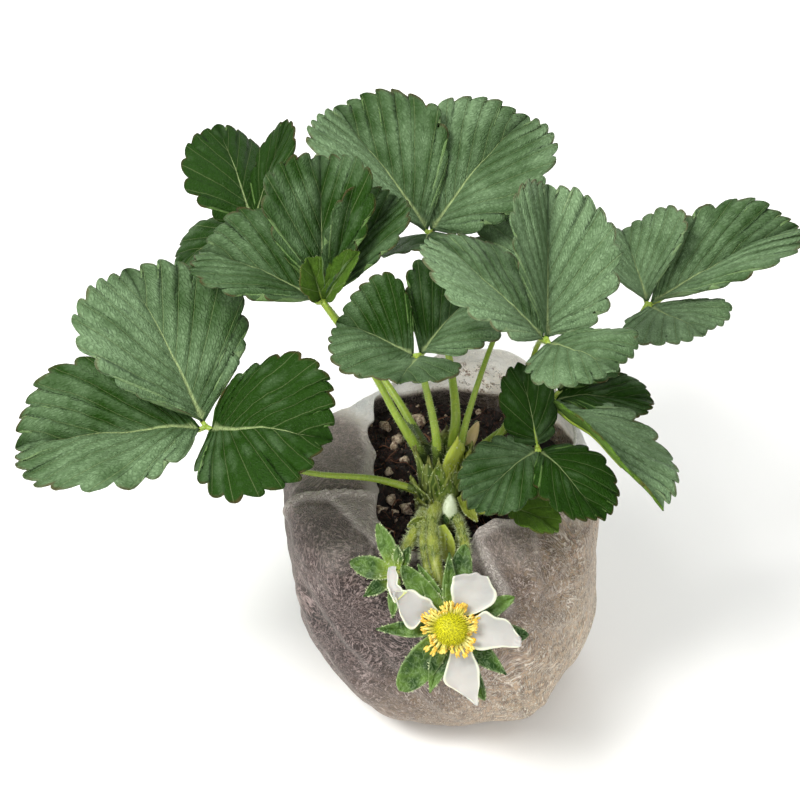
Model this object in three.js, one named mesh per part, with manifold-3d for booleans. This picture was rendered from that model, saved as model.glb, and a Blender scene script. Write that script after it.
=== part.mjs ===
// A young strawberry plant in a soft fabric grow bag: trifoliate leaves on thin stalks around one crown,
// an open flower and a spent one hanging over the front, dark soil with perlite, and a collar of folded cloth.
// Units are millimetres, +Z is up, the viewer stands at -Y, and the origin is the centre of the bag's flat base.
import * as THREE from "three";
import { mergeVertices } from "three/addons/utils/BufferGeometryUtils.js";
import Module from "manifold-3d";

const wasm = await Module();
wasm.setup();

const DEGREE = Math.PI / 180;
const CLEARANCE = 0.3;

// Bag of thin felt-like cloth: the outer wall's profile from the axis up to the belly, as radius and height.
const CLOTH = 0.8;
const BAG_COLUMNS = 40;
const WALL = [
  [0, 0],
  [21, 0],
  [28.5, 4],
  [34.5, 13],
  [37.5, 28],
  [38, 44],
];
const SHOULDER_RADIUS = 37;
// The bag slumps sideways: its base stands this far to the right of its belly, which starts at this height.
const SLUMP = 4.5;
const SLUMP_HEIGHT = 42;
// The mouth, anticlockwise from the right: angle about the axis, radius and height of its edge, height of the shoulder.
const MOUTH = [
  { angle: 20, radius: 33, height: 74, shoulder: 56 },
  { angle: 62, radius: 36.5, height: 75, shoulder: 58 },
  { angle: 86, radius: 34, height: 74, shoulder: 58 },
  { angle: 104, radius: 35.5, height: 66, shoulder: 58 },
  { angle: 118, radius: 33, height: 64, shoulder: 60 },
  { angle: 133, radius: 25, height: 64.5, shoulder: 61 },
  { angle: 160, radius: 17, height: 64.5, shoulder: 61 },
  { angle: 196, radius: 15.8, height: 63.5, shoulder: 61 },
  { angle: 222, radius: 20, height: 61, shoulder: 60 },
  { angle: 240, radius: 23, height: 59, shoulder: 56 },
  { angle: 270, radius: 21, height: 59.5, shoulder: 54 },
  { angle: 292, radius: 20.5, height: 60.5, shoulder: 54 },
  { angle: 325, radius: 23, height: 62, shoulder: 55 },
  { angle: 345, radius: 30, height: 67, shoulder: 55 },
];
const WRINKLE = 0.5;
const CAVITY_TOP = 68;

// Soil, with bits of perlite half sunk in it.
const SOIL_HEIGHT = 55.5;
const SOIL_SWELL = 1.3;
const SOIL_CELLS = 12;
const SOIL_SIDE = 84;
const SOIL_DEPTH = 70;
// Bits of perlite: place from above and size.
const PERLITE = [
  [-13.9, 25.2, 1.4],
  [-10.8, 21.2, 1.5],
  [-5.3, 28.3, 1.5],
  [-8.4, -3.6, 1.3],
  [-12.2, -0.2, 1.2],
  [-14.6, -4.6, 1.1],
  [9.5, 14, 1.4],
  [16.5, -3.5, 1.3],
  [2, 21, 1.2],
  [10.5, -12.5, 1.2],
  [-9, 12, 1.3],
  [20, 12, 1.4],
];

// Crown, where every stalk starts: its axis, and its profile as radius and height.
const CROWN_AXIS = new THREE.Vector3(-0.5, -4, 0);
const CROWN_PROFILE = [
  [0, 47],
  [3.6, 47],
  [5, 54],
  [6.2, 61],
  [6.4, 68],
  [5.6, 74],
  [3.4, 76.5],
  [0, 77.2],
];
const CROWN_SIDES = 10;
// The papery sheaths round the stalk bases: angle about the crown, foot height, length, lean outwards.
const STIPULES = [
  { angle: 200, foot: 62, length: 15, lean: 14 },
  { angle: 255, foot: 60, length: 14, lean: 12 },
  { angle: 320, foot: 64, length: 14, lean: 16 },
  { angle: 20, foot: 66, length: 12, lean: 15 },
  { angle: 140, foot: 66, length: 12, lean: 12 },
  { angle: 80, foot: 66, length: 12, lean: 12 },
];

// Leaf blades.
const BLADE = 0.8;
const BLADE_COLUMNS = 2;
const TOOTH_SIZE = 0.035;
const QUILT = 0.25;
const STALK_SIDES = 6;
const STALK_STEPS = 7;
const PETIOLULE_RADIUS = 0.75;

// Half of a leaflet's outline, from its base to its tip: part of the length, part of the half width.
// The wedge is the usual half; the full one is the rounder outer half of a side leaflet.
const WEDGE_HALF = new THREE.SplineCurve([
  new THREE.Vector2(0, 0.03),
  new THREE.Vector2(0.14, 0.38),
  new THREE.Vector2(0.36, 0.82),
  new THREE.Vector2(0.6, 1),
  new THREE.Vector2(0.81, 0.86),
  new THREE.Vector2(0.95, 0.46),
  new THREE.Vector2(1, 0.03),
]);
const FULL_HALF = new THREE.SplineCurve([
  new THREE.Vector2(0, 0.03),
  new THREE.Vector2(0.03, 0.5),
  new THREE.Vector2(0.22, 0.88),
  new THREE.Vector2(0.5, 1.02),
  new THREE.Vector2(0.78, 0.86),
  new THREE.Vector2(0.95, 0.46),
  new THREE.Vector2(1, 0.03),
]);
const VEIN_LEAN = 0.75;
const PLAIN_BASE = 0.26;

// Each leaf: its hub, where the three leaflets meet; the stalk's points from the crown up to the hub; and the leaflets.
// A leaflet points along azimuth and pitch, starts at gap from the hub, and its left and right halves rise by the
// angles left and right from level. full names its rounder halves, arch lifts the middle of the midrib, curl bends
// the margins down.
const LEAVES = [
  {
    name: "leaf_far_left",
    hub: [-55, -5, 84],
    radius: 1.15,
    stalk: [[-4, -6, 63.5], [-15.5, -6, 68], [-34, -5, 70]],
    leaflets: [
      { azimuth: 178, pitch: -10, gap: 2, length: 43, width: 37, left: 3, right: 42, full: "L", arch: 0.04, curl: 0.05, teeth: 8 },
      { azimuth: 121, pitch: 27, gap: 2, length: 41, width: 43, left: 20, right: 4, full: "", arch: 0.05, curl: 0.1, teeth: 8 },
      { azimuth: -27, pitch: 17, gap: 2, length: 32, width: 38, left: 30, right: -12, full: "LR", arch: 0.04, curl: 0.05, teeth: 8 },
    ],
  },
  {
    name: "leaf_back_left",
    hub: [-47, 60, 94],
    radius: 1.05,
    stalk: [[-3.5, 0, 71], [-12, 14, 78], [-30, 40, 86]],
    leaflets: [
      { azimuth: 108, pitch: 11, gap: 2, length: 33, width: 25, left: -5, right: -25, full: "L", arch: 0.04, curl: 0.05, teeth: 6 },
      { azimuth: 68, pitch: 33, gap: 2, length: 26, width: 20, left: -35, right: 35, full: "", arch: 0.03, curl: 0.05, teeth: 5 },
      { azimuth: -176, pitch: -32, gap: 2, length: 22, width: 22, left: 0, right: 0, full: "L", arch: 0.05, curl: 0.05, teeth: 5 },
    ],
  },
  {
    name: "leaf_centre_left",
    hub: [-28, 16, 104],
    radius: 1.15,
    stalk: [[-5.5, -3, 74], [-11, -1, 84], [-16, 6, 90]],
    leaflets: [
      { azimuth: 148, pitch: 1, gap: 1.5, length: 33, width: 28, left: 12, right: 45, full: "", arch: 0.06, curl: 0.05, teeth: 7 },
      { azimuth: 92, pitch: 27, gap: 1.5, length: 36, width: 31, left: 32, right: 38, full: "", arch: 0.03, curl: 0.05, teeth: 6 },
      { azimuth: 57, pitch: 20, gap: 1.5, length: 31, width: 24, left: 66, right: 30, full: "", arch: 0.04, curl: 0.05, teeth: 6 },
      { azimuth: 63, pitch: 64, gap: 1, length: 12, width: 13, left: 0, right: 0, full: "LR", arch: 0.02, curl: 0, teeth: 3 },
    ],
  },
  {
    name: "leaf_back",
    hub: [-3, 46.5, 101],
    radius: 1.2,
    stalk: [[2.5, 0, 73], [3, 3, 81], [1, 20, 89]],
    leaflets: [
      { azimuth: 126, pitch: 20, gap: 1.5, length: 40, width: 38, left: 24, right: 28, full: "", arch: 0.04, curl: 0.05, teeth: 8 },
      { azimuth: 52, pitch: 18, gap: 1.5, length: 40, width: 38, left: 24, right: 14, full: "R", arch: 0.05, curl: 0.08, teeth: 8 },
      { azimuth: -95, pitch: 28, gap: 1.5, length: 22, width: 24, left: -5, right: -15, full: "LR", arch: 0.03, curl: 0.05, teeth: 5 },
    ],
  },
  {
    name: "leaf_centre",
    hub: [-6, -3, 104],
    radius: 1.2,
    stalk: [[-1, -5.5, 73], [-2, -4.5, 83], [-4.6, -1, 95]],
    leaflets: [
      { azimuth: 157, pitch: 10, gap: 1.5, length: 18.5, width: 29, left: 4, right: 45, full: "L", arch: 0.05, curl: 0.05, teeth: 7 },
      { azimuth: 60, pitch: -1, gap: 1.5, length: 25, width: 29, left: 42, right: 12, full: "R", arch: 0.05, curl: 0.05, teeth: 7 },
      { azimuth: -105, pitch: 20, gap: 1.5, length: 16, width: 23, left: 10, right: -8, full: "LR", arch: 0.05, curl: 0.1, teeth: 5 },
    ],
  },
  {
    name: "leaf_front_right",
    hub: [22, -12, 116],
    radius: 1.15,
    stalk: [[4.5, -3.5, 69], [13, 2, 74], [19, 9, 84], [21.5, 7, 98]],
    leaflets: [
      { azimuth: 137, pitch: 17, gap: 1.5, length: 34, width: 27, left: 20, right: -15, full: "L", arch: 0.05, curl: 0.05, teeth: 8 },
      { azimuth: 88, pitch: 26, gap: 1.5, length: 36, width: 31, left: 58, right: 10, full: "R", arch: 0.03, curl: 0.08, teeth: 8 },
      { azimuth: -50, pitch: 22, gap: 1.5, length: 23.5, width: 25, left: 9, right: -7, full: "R", arch: 0.05, curl: 0.1, teeth: 6 },
    ],
  },
  {
    name: "leaf_behind",
    hub: [20.5, 36, 98],
    radius: 0.85,
    stalk: [[4, -1.5, 73], [5.5, 0.5, 81], [11, 12, 93]],
    leaflets: [
      { azimuth: 95, pitch: 8, gap: 1.5, length: 27, width: 22, left: 0, right: 10, full: "", arch: 0.03, curl: 0.05, teeth: 5 },
      { azimuth: 10, pitch: -28, gap: 1.5, length: 17, width: 14, left: 0, right: 0, full: "", arch: 0.03, curl: 0.05, teeth: 4 },
      { azimuth: 150, pitch: -4, gap: 1.5, length: 17, width: 17, left: 0, right: 0, full: "", arch: 0.03, curl: 0.05, teeth: 5 },
    ],
  },
  {
    name: "leaf_far_right",
    hub: [49, 25, 96],
    radius: 1.15,
    stalk: [[4, 0, 67], [15, 8, 71], [31, 15, 78], [41, 21, 81.5]],
    leaflets: [
      { azimuth: 99, pitch: 4, gap: 1.5, length: 25, width: 34, left: 41, right: 45, full: "L", arch: 0.04, curl: 0.05, teeth: 7 },
      { azimuth: 30, pitch: 9, gap: 1.5, length: 43, width: 29, left: 22, right: 25, full: "", arch: 0.04, curl: 0.05, teeth: 8 },
      { azimuth: -55, pitch: 12, gap: 1.5, length: 18, width: 27, left: 0, right: 3, full: "R", arch: 0.05, curl: 0.1, teeth: 6 },
    ],
  },
  {
    name: "leaf_low_right",
    hub: [25, 6.2, 82.5],
    radius: 1.1,
    stalk: [[4.8, -4, 65], [15, 2, 68.5], [22.5, 8, 74.5]],
    leaflets: [
      { azimuth: -60, pitch: 4, gap: 2, length: 43, width: 24, left: 0, right: 60, full: "L", arch: 0.04, curl: 0.05, teeth: 8 },
      { azimuth: 6, pitch: -6, gap: 2, length: 23, width: 17, left: 6, right: 10, full: "", arch: 0.05, curl: 0.1, teeth: 6 },
      { azimuth: 48, pitch: 8, gap: 4, length: 17, width: 17, left: 10, right: 5, full: "", arch: 0.05, curl: 0.1, teeth: 5 },
    ],
  },
  {
    name: "leaf_low_small",
    hub: [22, -7, 79],
    radius: 0.95,
    stalk: [[4.4, -6.5, 61.5], [12, -9.5, 66], [19, -9, 73]],
    leaflets: [
      { azimuth: 113, pitch: 56, gap: 1.2, length: 19, width: 13, left: -8, right: -8, full: "LR", arch: 0.04, curl: 0.05, teeth: 5 },
      { azimuth: -129, pitch: -7, gap: 1.2, length: 22, width: 19, left: -5, right: 24, full: "LR", arch: 0.05, curl: 0.05, teeth: 6 },
      { azimuth: -61, pitch: -4, gap: 1.2, length: 25, width: 20, left: 8, right: 6, full: "L", arch: 0.05, curl: 0.05, teeth: 6 },
    ],
  },
  {
    name: "leaf_young",
    hub: [15.5, -13.5, 66.5],
    radius: 0.8,
    stalk: [[3.2, -8, 59.5], [9, -11.5, 62.5]],
    leaflets: [
      { azimuth: -40, pitch: -12, gap: 0.8, length: 12, width: 10, left: 20, right: 10, full: "LR", arch: 0.05, curl: 0.05, teeth: 4 },
    ],
  },
];

// The open flower: its centre, and how far it leans back from facing the viewer level.
const FLOWER_CENTRE = new THREE.Vector3(1.3, -45, 59.2);
const FLOWER_FACING = new THREE.Vector3(0, -0.743, 0.669).normalize();
const PETAL_THICKNESS = 0.7;
// Petals and sepals: turn about the flower's centre from its right, inner and outer reach, width, height above the
// flower's plane at both ends.
const PETALS = [
  { turn: 148, inner: 4, outer: 14.5, width: 10, low: 0.6, high: 3 },
  { turn: 58, inner: 4, outer: 14.5, width: 10, low: 0.6, high: 2.5 },
  { turn: -4, inner: 4, outer: 15.5, width: 9.5, low: 0.6, high: 2 },
  { turn: -70, inner: 4, outer: 17.5, width: 9, low: 0.6, high: 1 },
];
const SEPALS = [
  { turn: 236, inner: 1, outer: 16.5, width: 8, low: -0.8, high: -1.5 },
  { turn: 258, inner: 1, outer: 15, width: 5, low: -0.9, high: 0 },
  { turn: 312, inner: 1, outer: 15.5, width: 5.5, low: -0.8, high: -1 },
  { turn: 296, inner: 1, outer: 18.5, width: 5, low: -0.9, high: -3 },
  { turn: 22, inner: 1, outer: 15.5, width: 5, low: -0.8, high: -0.5 },
  { turn: 352, inner: 1, outer: 18, width: 5.5, low: -0.9, high: -2.5 },
  { turn: 180, inner: 1, outer: 17, width: 4.5, low: -0.9, high: -1 },
  { turn: 96, inner: 1, outer: 16, width: 4, low: -0.8, high: -1 },
  { turn: 122, inner: 1, outer: 17, width: 5.5, low: -0.8, high: -2 },
  { turn: 72, inner: 1, outer: 19, width: 6.5, low: -0.9, high: -3 },
];
const DOME_RADIUS = 3.9;
const STAMENS = 15;
const STAMEN_REACH = 6.2;

// The spent flower beside it, of which the green sepals are left.
const SPENT_CENTRE = new THREE.Vector3(-10.5, -34, 65.2);
const SPENT_FACING = new THREE.Vector3(-0.45, -0.55, 0.7).normalize();
const SPENT_SEPALS = [
  { turn: 170, inner: 0, outer: 12.5, width: 5.5, low: 0, high: 1 },
  { turn: 215, inner: 0, outer: 10, width: 4.5, low: 0, high: 0 },
  { turn: 262, inner: 0, outer: 10, width: 4, low: 0, high: 0 },
  { turn: 110, inner: 0, outer: 12.5, width: 4.5, low: 0, high: 2 },
  { turn: 60, inner: 0, outer: 7, width: 3.5, low: 0, high: 2 },
];

// Flower stalks, from the crown over the edge of the bag.
const FLOWER_STALK = [[-1, -8, 62], [-2.5, -18, 66], [-2, -31, 66.5], [0.5, -39.5, 60]];
const FLOWER_STALK_RADIUS = 1.3;
const SPENT_STALK = [[-4, -8.5, 60.5], [-6, -18, 64.5], [-9.5, -29, 65.5]];
const SPENT_STALK_RADIUS = 1.1;

// Two closed buds at the crown: foot, tip, radius.
const BUDS = [
  { name: "bud_front", foot: [1.2, -9.5, 64], tip: [2, -13, 70], radius: 2.6 },
  { name: "bud_back", foot: [5.5, 1, 71], tip: [8.5, 4.5, 77], radius: 1.7 },
];

// Turns a closed three.js geometry into a solid that can be joined and cut.
function toSolid(geometry) {
  const bare = geometry.clone();
  bare.deleteAttribute("normal");
  bare.deleteAttribute("uv");
  const merged = mergeVertices(bare, 1e-4);
  const corners = merged.index.array;
  const kept = [];
  for (let i = 0; i < corners.length; i += 3) {
    const [a, b, c] = [corners[i], corners[i + 1], corners[i + 2]];
    if (a !== b && b !== c && c !== a) kept.push(a, b, c);
  }
  return new wasm.Manifold(
    new wasm.Mesh({
      numProp: 3,
      vertProperties: new Float32Array(merged.attributes.position.array),
      triVerts: new Uint32Array(kept),
    }),
  );
}

// Turns a solid back into a three.js geometry.
function toGeometry(solid) {
  const mesh = solid.getMesh();
  const geometry = new THREE.BufferGeometry();
  geometry.setAttribute("position", new THREE.BufferAttribute(mesh.vertProperties, mesh.numProp));
  geometry.setIndex(new THREE.BufferAttribute(mesh.triVerts, 1));
  geometry.computeVertexNormals();
  return geometry;
}

// Joins several solids into one.
function join(solids) {
  return solids.reduce((whole, next) => whole.add(next));
}

// The largest connected piece of a solid; the scraps that a cut leaves are dropped.
function largestPiece(solid) {
  return solid.decompose().reduce((best, piece) => (piece.volume() > best.volume() ? piece : best));
}

function vector([x, y, z]) {
  return new THREE.Vector3(x, y, z);
}

// A round stem along a smooth curve through some points.
function stem(points, radius, sides = STALK_SIDES, steps = STALK_STEPS) {
  const section = new THREE.Shape();
  for (let i = 0; i < sides; i += 1) {
    const turn = (i / sides) * 2 * Math.PI;
    const [x, y] = [radius * Math.cos(turn), radius * Math.sin(turn)];
    if (i === 0) section.moveTo(x, y);
    else section.lineTo(x, y);
  }
  const extrudePath = new THREE.CatmullRomCurve3(points, false, "centripetal");
  return new THREE.ExtrudeGeometry(section, { steps, extrudePath, bevelEnabled: false });
}

// Turns a bent grid of across by along cells into a closed blade: normals holds a direction for each grid point.
function thicken(plane, across, along, thickness, normals) {
  const middle = plane.attributes.position;
  const count = middle.count;
  const positions = new Float32Array(count * 6);
  for (let i = 0; i < count; i += 1) {
    const point = new THREE.Vector3().fromBufferAttribute(middle, i);
    point.clone().addScaledVector(normals[i], thickness / 2).toArray(positions, i * 3);
    point.clone().addScaledVector(normals[i], -thickness / 2).toArray(positions, (count + i) * 3);
  }
  const faces = [];
  const surface = plane.index.array;
  for (let i = 0; i < surface.length; i += 3) {
    const [a, b, c] = [surface[i], surface[i + 1], surface[i + 2]];
    faces.push(a, b, c, count + a, count + c, count + b);
  }
  const border = [];
  for (let i = 0; i < across; i += 1) border.push(i);
  for (let j = 0; j < along; j += 1) border.push(j * (across + 1) + across);
  for (let i = across; i > 0; i -= 1) border.push(along * (across + 1) + i);
  for (let j = along; j > 0; j -= 1) border.push(j * (across + 1));
  border.forEach((here, k) => {
    const next = border[(k + 1) % border.length];
    faces.push(here, next, count + next, here, count + next, count + here);
  });
  const closed = new THREE.BufferGeometry();
  closed.setAttribute("position", new THREE.BufferAttribute(positions, 3));
  closed.setIndex(faces);
  return closed;
}

// The unit vectors of a leaflet: along its midrib, level to its left, and up from its face.
function leafletAxes({ azimuth, pitch }) {
  const [turn, rise] = [azimuth * DEGREE, pitch * DEGREE];
  const along = new THREE.Vector3(
    Math.cos(turn) * Math.cos(rise),
    Math.sin(turn) * Math.cos(rise),
    Math.sin(rise),
  );
  const left = new THREE.Vector3(0, 0, 1).cross(along).normalize();
  return { along, left, up: new THREE.Vector3().crossVectors(along, left) };
}

// One serrated leaflet: the grid's rows run along the side veins, each out to a tooth or a notch of the margin.
function leafletGeometry(leaflet, hub) {
  const { length, width, gap, arch, curl, full, teeth } = leaflet;
  const { along, left, up } = leafletAxes(leaflet);
  const base = hub.clone().addScaledVector(along, gap);
  const rows = 2 * teeth;
  const plane = new THREE.PlaneGeometry(2, 1, BLADE_COLUMNS, rows);
  const spots = plane.attributes.position;
  const normals = [];
  for (let row = 0; row <= rows; row += 1) {
    const onRim = row < 2 ? (row * PLAIN_BASE) / 2 : PLAIN_BASE + ((row - 2) / (rows - 2)) * (1 - PLAIN_BASE);
    const tooth = row < 2 || row === rows ? 0 : TOOTH_SIZE * length * (row % 2 ? -1 : 1);
    const bulge = row === rows ? 0 : QUILT * (row % 2 ? 1 : -1);
    for (let column = 0; column <= BLADE_COLUMNS; column += 1) {
      const across = (2 * column) / BLADE_COLUMNS - 1;
      const side = Math.sign(across);
      const out = Math.abs(across);
      const half = full.includes(side > 0 ? "L" : "R") ? FULL_HALF : WEDGE_HALF;
      const edge = half.getPointAt(onRim);
      const heading = half.getTangentAt(onRim);
      const edgeAlong = edge.x * length - heading.y * tooth;
      const edgeAside = (edge.y * width) / 2 + heading.x * tooth;
      const rib = WEDGE_HALF.getPointAt(onRim);
      const ribAlong = Math.max(0, rib.x * length - (VEIN_LEAN * rib.y * width) / 2);
      const forward = ribAlong + (edgeAlong - ribAlong) * out;
      const aside = edgeAside * out;
      const tilt = (side > 0 ? leaflet.left : leaflet.right) * DEGREE;
      const portion = THREE.MathUtils.clamp(forward / length, 0, 1);
      const lift = arch * length * 4 * portion * (1 - portion) - (curl * 2 * aside * aside) / width + bulge * out;
      const point = base
        .clone()
        .addScaledVector(along, forward)
        .addScaledVector(left, side * aside * Math.cos(tilt))
        .addScaledVector(up, aside * Math.sin(tilt) + lift);
      spots.setXYZ(row * (BLADE_COLUMNS + 1) + column, point.x, point.y, point.z);
      const middleTilt = ((leaflet.left - leaflet.right) / 2) * DEGREE;
      const lean = side === 0 ? middleTilt : side * tilt;
      normals.push(up.clone().multiplyScalar(Math.cos(lean)).addScaledVector(left, -Math.sin(lean)));
    }
  }
  return thicken(plane, BLADE_COLUMNS, rows, BLADE, normals);
}

// A whole leaf in one piece: stalk, short leaflet stalks and the serrated leaflets.
function leafSolid(leaf) {
  const hub = vector(leaf.hub);
  const pieces = [toSolid(stem([...leaf.stalk.map(vector), hub], leaf.radius))];
  for (const leaflet of leaf.leaflets) {
    const { along } = leafletAxes(leaflet);
    const start = hub.clone().addScaledVector(along, -0.5);
    const end = hub.clone().addScaledVector(along, leaflet.gap + 1.2);
    pieces.push(toSolid(stem([start, end], PETIOLULE_RADIUS, 4, 1)));
    pieces.push(toSolid(leafletGeometry(leaflet, hub)));
  }
  return join(pieces);
}

// The mouth's values at an angle in degrees, eased between the entries of the table.
function mouthAt(angle) {
  const count = MOUTH.length;
  const next = MOUTH.findIndex((entry) => entry.angle > angle);
  const after = next < 0 ? 0 : next;
  const [from, to] = [MOUTH[(after + count - 1) % count], MOUTH[after]];
  const span = (to.angle - from.angle + 360) % 360;
  const portion = ((angle - from.angle + 360) % 360) / span;
  const eased = THREE.MathUtils.smoothstep(portion, 0, 1);
  const blend = (key) => THREE.MathUtils.lerp(from[key], to[key], eased);
  return { radius: blend("radius"), height: blend("height"), shoulder: blend("shoulder") };
}

// The wall's profile at an angle, from the axis to the mouth, moved inwards by inset.
function bagProfile(angle, inset) {
  const mouth = mouthAt(angle);
  const wave = Math.sin(5 * angle * DEGREE + 0.6) + 0.6 * Math.sin(11 * angle * DEGREE);
  const outer = WALL.map(([r, z]) => new THREE.Vector2(r + (r > 0 && z > 0 ? wave * WRINKLE : 0), z));
  outer.push(new THREE.Vector2(SHOULDER_RADIUS + wave * WRINKLE, mouth.shoulder - 3));
  const fall = new THREE.Vector2(SHOULDER_RADIUS, mouth.shoulder);
  const edge = new THREE.Vector2(mouth.radius, mouth.height);
  outer.push(fall.clone().lerp(edge, 0.12), fall.clone().lerp(edge, 0.55).add(new THREE.Vector2(0, 0.4)), edge);
  return outer.map((point, i) => {
    const before = outer[Math.max(0, i - 1)];
    const after = outer[Math.min(outer.length - 1, i + 1)];
    const heading = after.clone().sub(before).normalize();
    const inwards = i === 0 ? new THREE.Vector2(0, 1) : new THREE.Vector2(-heading.y, heading.x);
    const moved = point.clone().addScaledVector(inwards, inset);
    return i === 0 ? moved.setX(0) : moved;
  });
}

// A body turned round the axis whose profile changes with the angle.
function turnedBody(profileAt) {
  const rows = profileAt(0).length;
  const lathe = new THREE.LatheGeometry(profileAt(0), BAG_COLUMNS);
  const spots = lathe.attributes.position;
  for (let column = 0; column <= BAG_COLUMNS; column += 1) {
    const angle = (360 * (column % BAG_COLUMNS)) / BAG_COLUMNS;
    profileAt(angle).forEach(({ x, y }, row) => {
      const slump = SLUMP * (1 - THREE.MathUtils.smoothstep(y, 0, SLUMP_HEIGHT));
      spots.setXYZ(column * rows + row, x * Math.cos(angle * DEGREE) + slump, x * Math.sin(angle * DEGREE), y);
    });
  }
  return toSolid(lathe);
}

// The bag: the outer wall up to the mouth, and the inner wall back down to the axis.
function bagSolid() {
  return turnedBody((angle) => [...bagProfile(angle, 0), ...bagProfile(angle, CLOTH).reverse()]);
}

// The heaped surface of the soil.
function soilHeight(x, y) {
  return SOIL_HEIGHT + SOIL_SWELL * (Math.sin(x / 4.1 + 0.5) * Math.cos(y / 3.6) + 0.45 * Math.sin((x + 1.7 * y) / 2.3));
}

// The soil fills the bag up to that surface, carries perlite and has a plain hole for the crown.
function soilSolid() {
  const inset = CLOTH + CLEARANCE;
  const cavity = turnedBody((angle) => [...bagProfile(angle, inset), new THREE.Vector2(0, CAVITY_TOP)]);
  const plane = new THREE.PlaneGeometry(SOIL_SIDE, SOIL_SIDE, SOIL_CELLS, SOIL_CELLS);
  const spots = plane.attributes.position;
  const upwards = [];
  for (let i = 0; i < spots.count; i += 1) {
    spots.setZ(i, soilHeight(spots.getX(i), spots.getY(i)) - SOIL_DEPTH / 2);
    upwards.push(new THREE.Vector3(0, 0, 1));
  }
  let soil = cavity.intersect(toSolid(thicken(plane, SOIL_CELLS, SOIL_CELLS, SOIL_DEPTH, upwards)));
  PERLITE.forEach(([x, y, size], i) => {
    const bit = new THREE.IcosahedronGeometry(size).rotateZ(i).translate(x, y, soilHeight(x, y) + 0.2 * size);
    soil = soil.add(toSolid(bit));
  });
  return largestPiece(soil.subtract(toSolid(crownGeometry(CLEARANCE))));
}

// The crown's own body, made fatter by extra.
function crownGeometry(extra) {
  const last = CROWN_PROFILE.length - 1;
  const profile = CROWN_PROFILE.map(([r, z], i) => {
    const height = z + (i <= 1 ? -extra : i >= last - 1 ? extra : 0);
    return new THREE.Vector2(i === 0 || i === last ? 0 : r + extra, height);
  });
  const lathe = new THREE.LatheGeometry(profile, CROWN_SIDES);
  return lathe.rotateX(Math.PI / 2).translate(CROWN_AXIS.x, CROWN_AXIS.y, 0);
}

// A pointed papery sheath that leans out from the crown.
function stipuleGeometry({ angle, foot, length, lean }) {
  const scale = new THREE.ConeGeometry(2.7, length, 6).rotateX(Math.PI / 2).translate(0, 0, length / 2);
  scale.scale(0.5, 1, 1).rotateY(lean * DEGREE).translate(4.6, 0, foot);
  return scale.rotateZ(angle * DEGREE).translate(CROWN_AXIS.x, CROWN_AXIS.y, 0);
}

// A closed bud: a drop shape from its foot to its tip.
function budGeometry({ foot, tip, radius }) {
  const [from, to] = [vector(foot), vector(tip)];
  const length = from.distanceTo(to);
  const profile = [[0, 0], [0.6, 0], [0.95, 0.25], [1, 0.5], [0.72, 0.8], [0, 1]];
  const lathe = new THREE.LatheGeometry(
    profile.map(([r, t]) => new THREE.Vector2(r * radius, t * length)),
    8,
  );
  const turn = new THREE.Quaternion().setFromUnitVectors(new THREE.Vector3(0, 1, 0), to.clone().sub(from).normalize());
  return lathe.applyQuaternion(turn).translate(from.x, from.y, from.z);
}

// The directions of a bloom: right and up across its face, and out from it.
function bloomAxes(facing) {
  const right = new THREE.Vector3(1, 0, 0).addScaledVector(facing, -facing.x).normalize();
  return { right, rise: new THREE.Vector3().crossVectors(facing, right), facing };
}

// A petal or a sepal: an oval blade that starts near the bloom's centre, with cupped sides and a chosen end.
function bloomBlade(centre, facing, blade, { columns, rows, blunt, cup }) {
  const { right, rise } = bloomAxes(facing);
  const turn = blade.turn * DEGREE;
  const out = right.clone().multiplyScalar(Math.cos(turn)).addScaledVector(rise, Math.sin(turn));
  const aside = new THREE.Vector3().crossVectors(facing, out);
  const plane = new THREE.PlaneGeometry(2, 1, columns, rows);
  const spots = plane.attributes.position;
  const normals = [];
  for (let row = 0; row <= rows; row += 1) {
    const portion = row / rows;
    const oval = Math.sin(Math.PI * (0.12 + (0.88 - 0.12 * blunt) * portion) ** (1 + 0.5 * blunt));
    const halfWidth = Math.max(0.3, (blade.width / 2) * oval);
    for (let column = 0; column <= columns; column += 1) {
      const across = (2 * column) / columns - 1;
      const reach = blade.inner + (blade.outer - blade.inner) * portion;
      const height = THREE.MathUtils.lerp(blade.low, blade.high, portion * portion) + cup * oval * across * across;
      const point = centre
        .clone()
        .addScaledVector(out, reach)
        .addScaledVector(aside, across * halfWidth)
        .addScaledVector(facing, height);
      spots.setXYZ(row * (columns + 1) + column, point.x, point.y, point.z);
      normals.push(facing);
    }
  }
  return toSolid(thicken(plane, columns, rows, PETAL_THICKNESS, normals));
}

const SEPAL_FORM = { columns: 2, rows: 4, blunt: 0, cup: 0.5 };
const PETAL_FORM = { columns: 4, rows: 5, blunt: 1, cup: 0.9 };

// The green part of the open flower: stalk, the cup under the petals and two rows of sepals.
function flowerGreenSolid() {
  const back = FLOWER_CENTRE.clone().addScaledVector(FLOWER_FACING, -1.6);
  const cup = new THREE.CylinderGeometry(3.6, 1.8, 1.9, 12).rotateX(Math.PI / 2);
  const turn = new THREE.Quaternion().setFromUnitVectors(new THREE.Vector3(0, 0, 1), FLOWER_FACING);
  const seat = FLOWER_CENTRE.clone().addScaledVector(FLOWER_FACING, -1.1);
  return join([
    toSolid(stem([...FLOWER_STALK.map(vector), back], FLOWER_STALK_RADIUS, STALK_SIDES, 12)),
    toSolid(cup.applyQuaternion(turn).translate(seat.x, seat.y, seat.z)),
    ...SEPALS.map((sepal) => bloomBlade(FLOWER_CENTRE, FLOWER_FACING, sepal, SEPAL_FORM)),
  ]);
}

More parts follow.
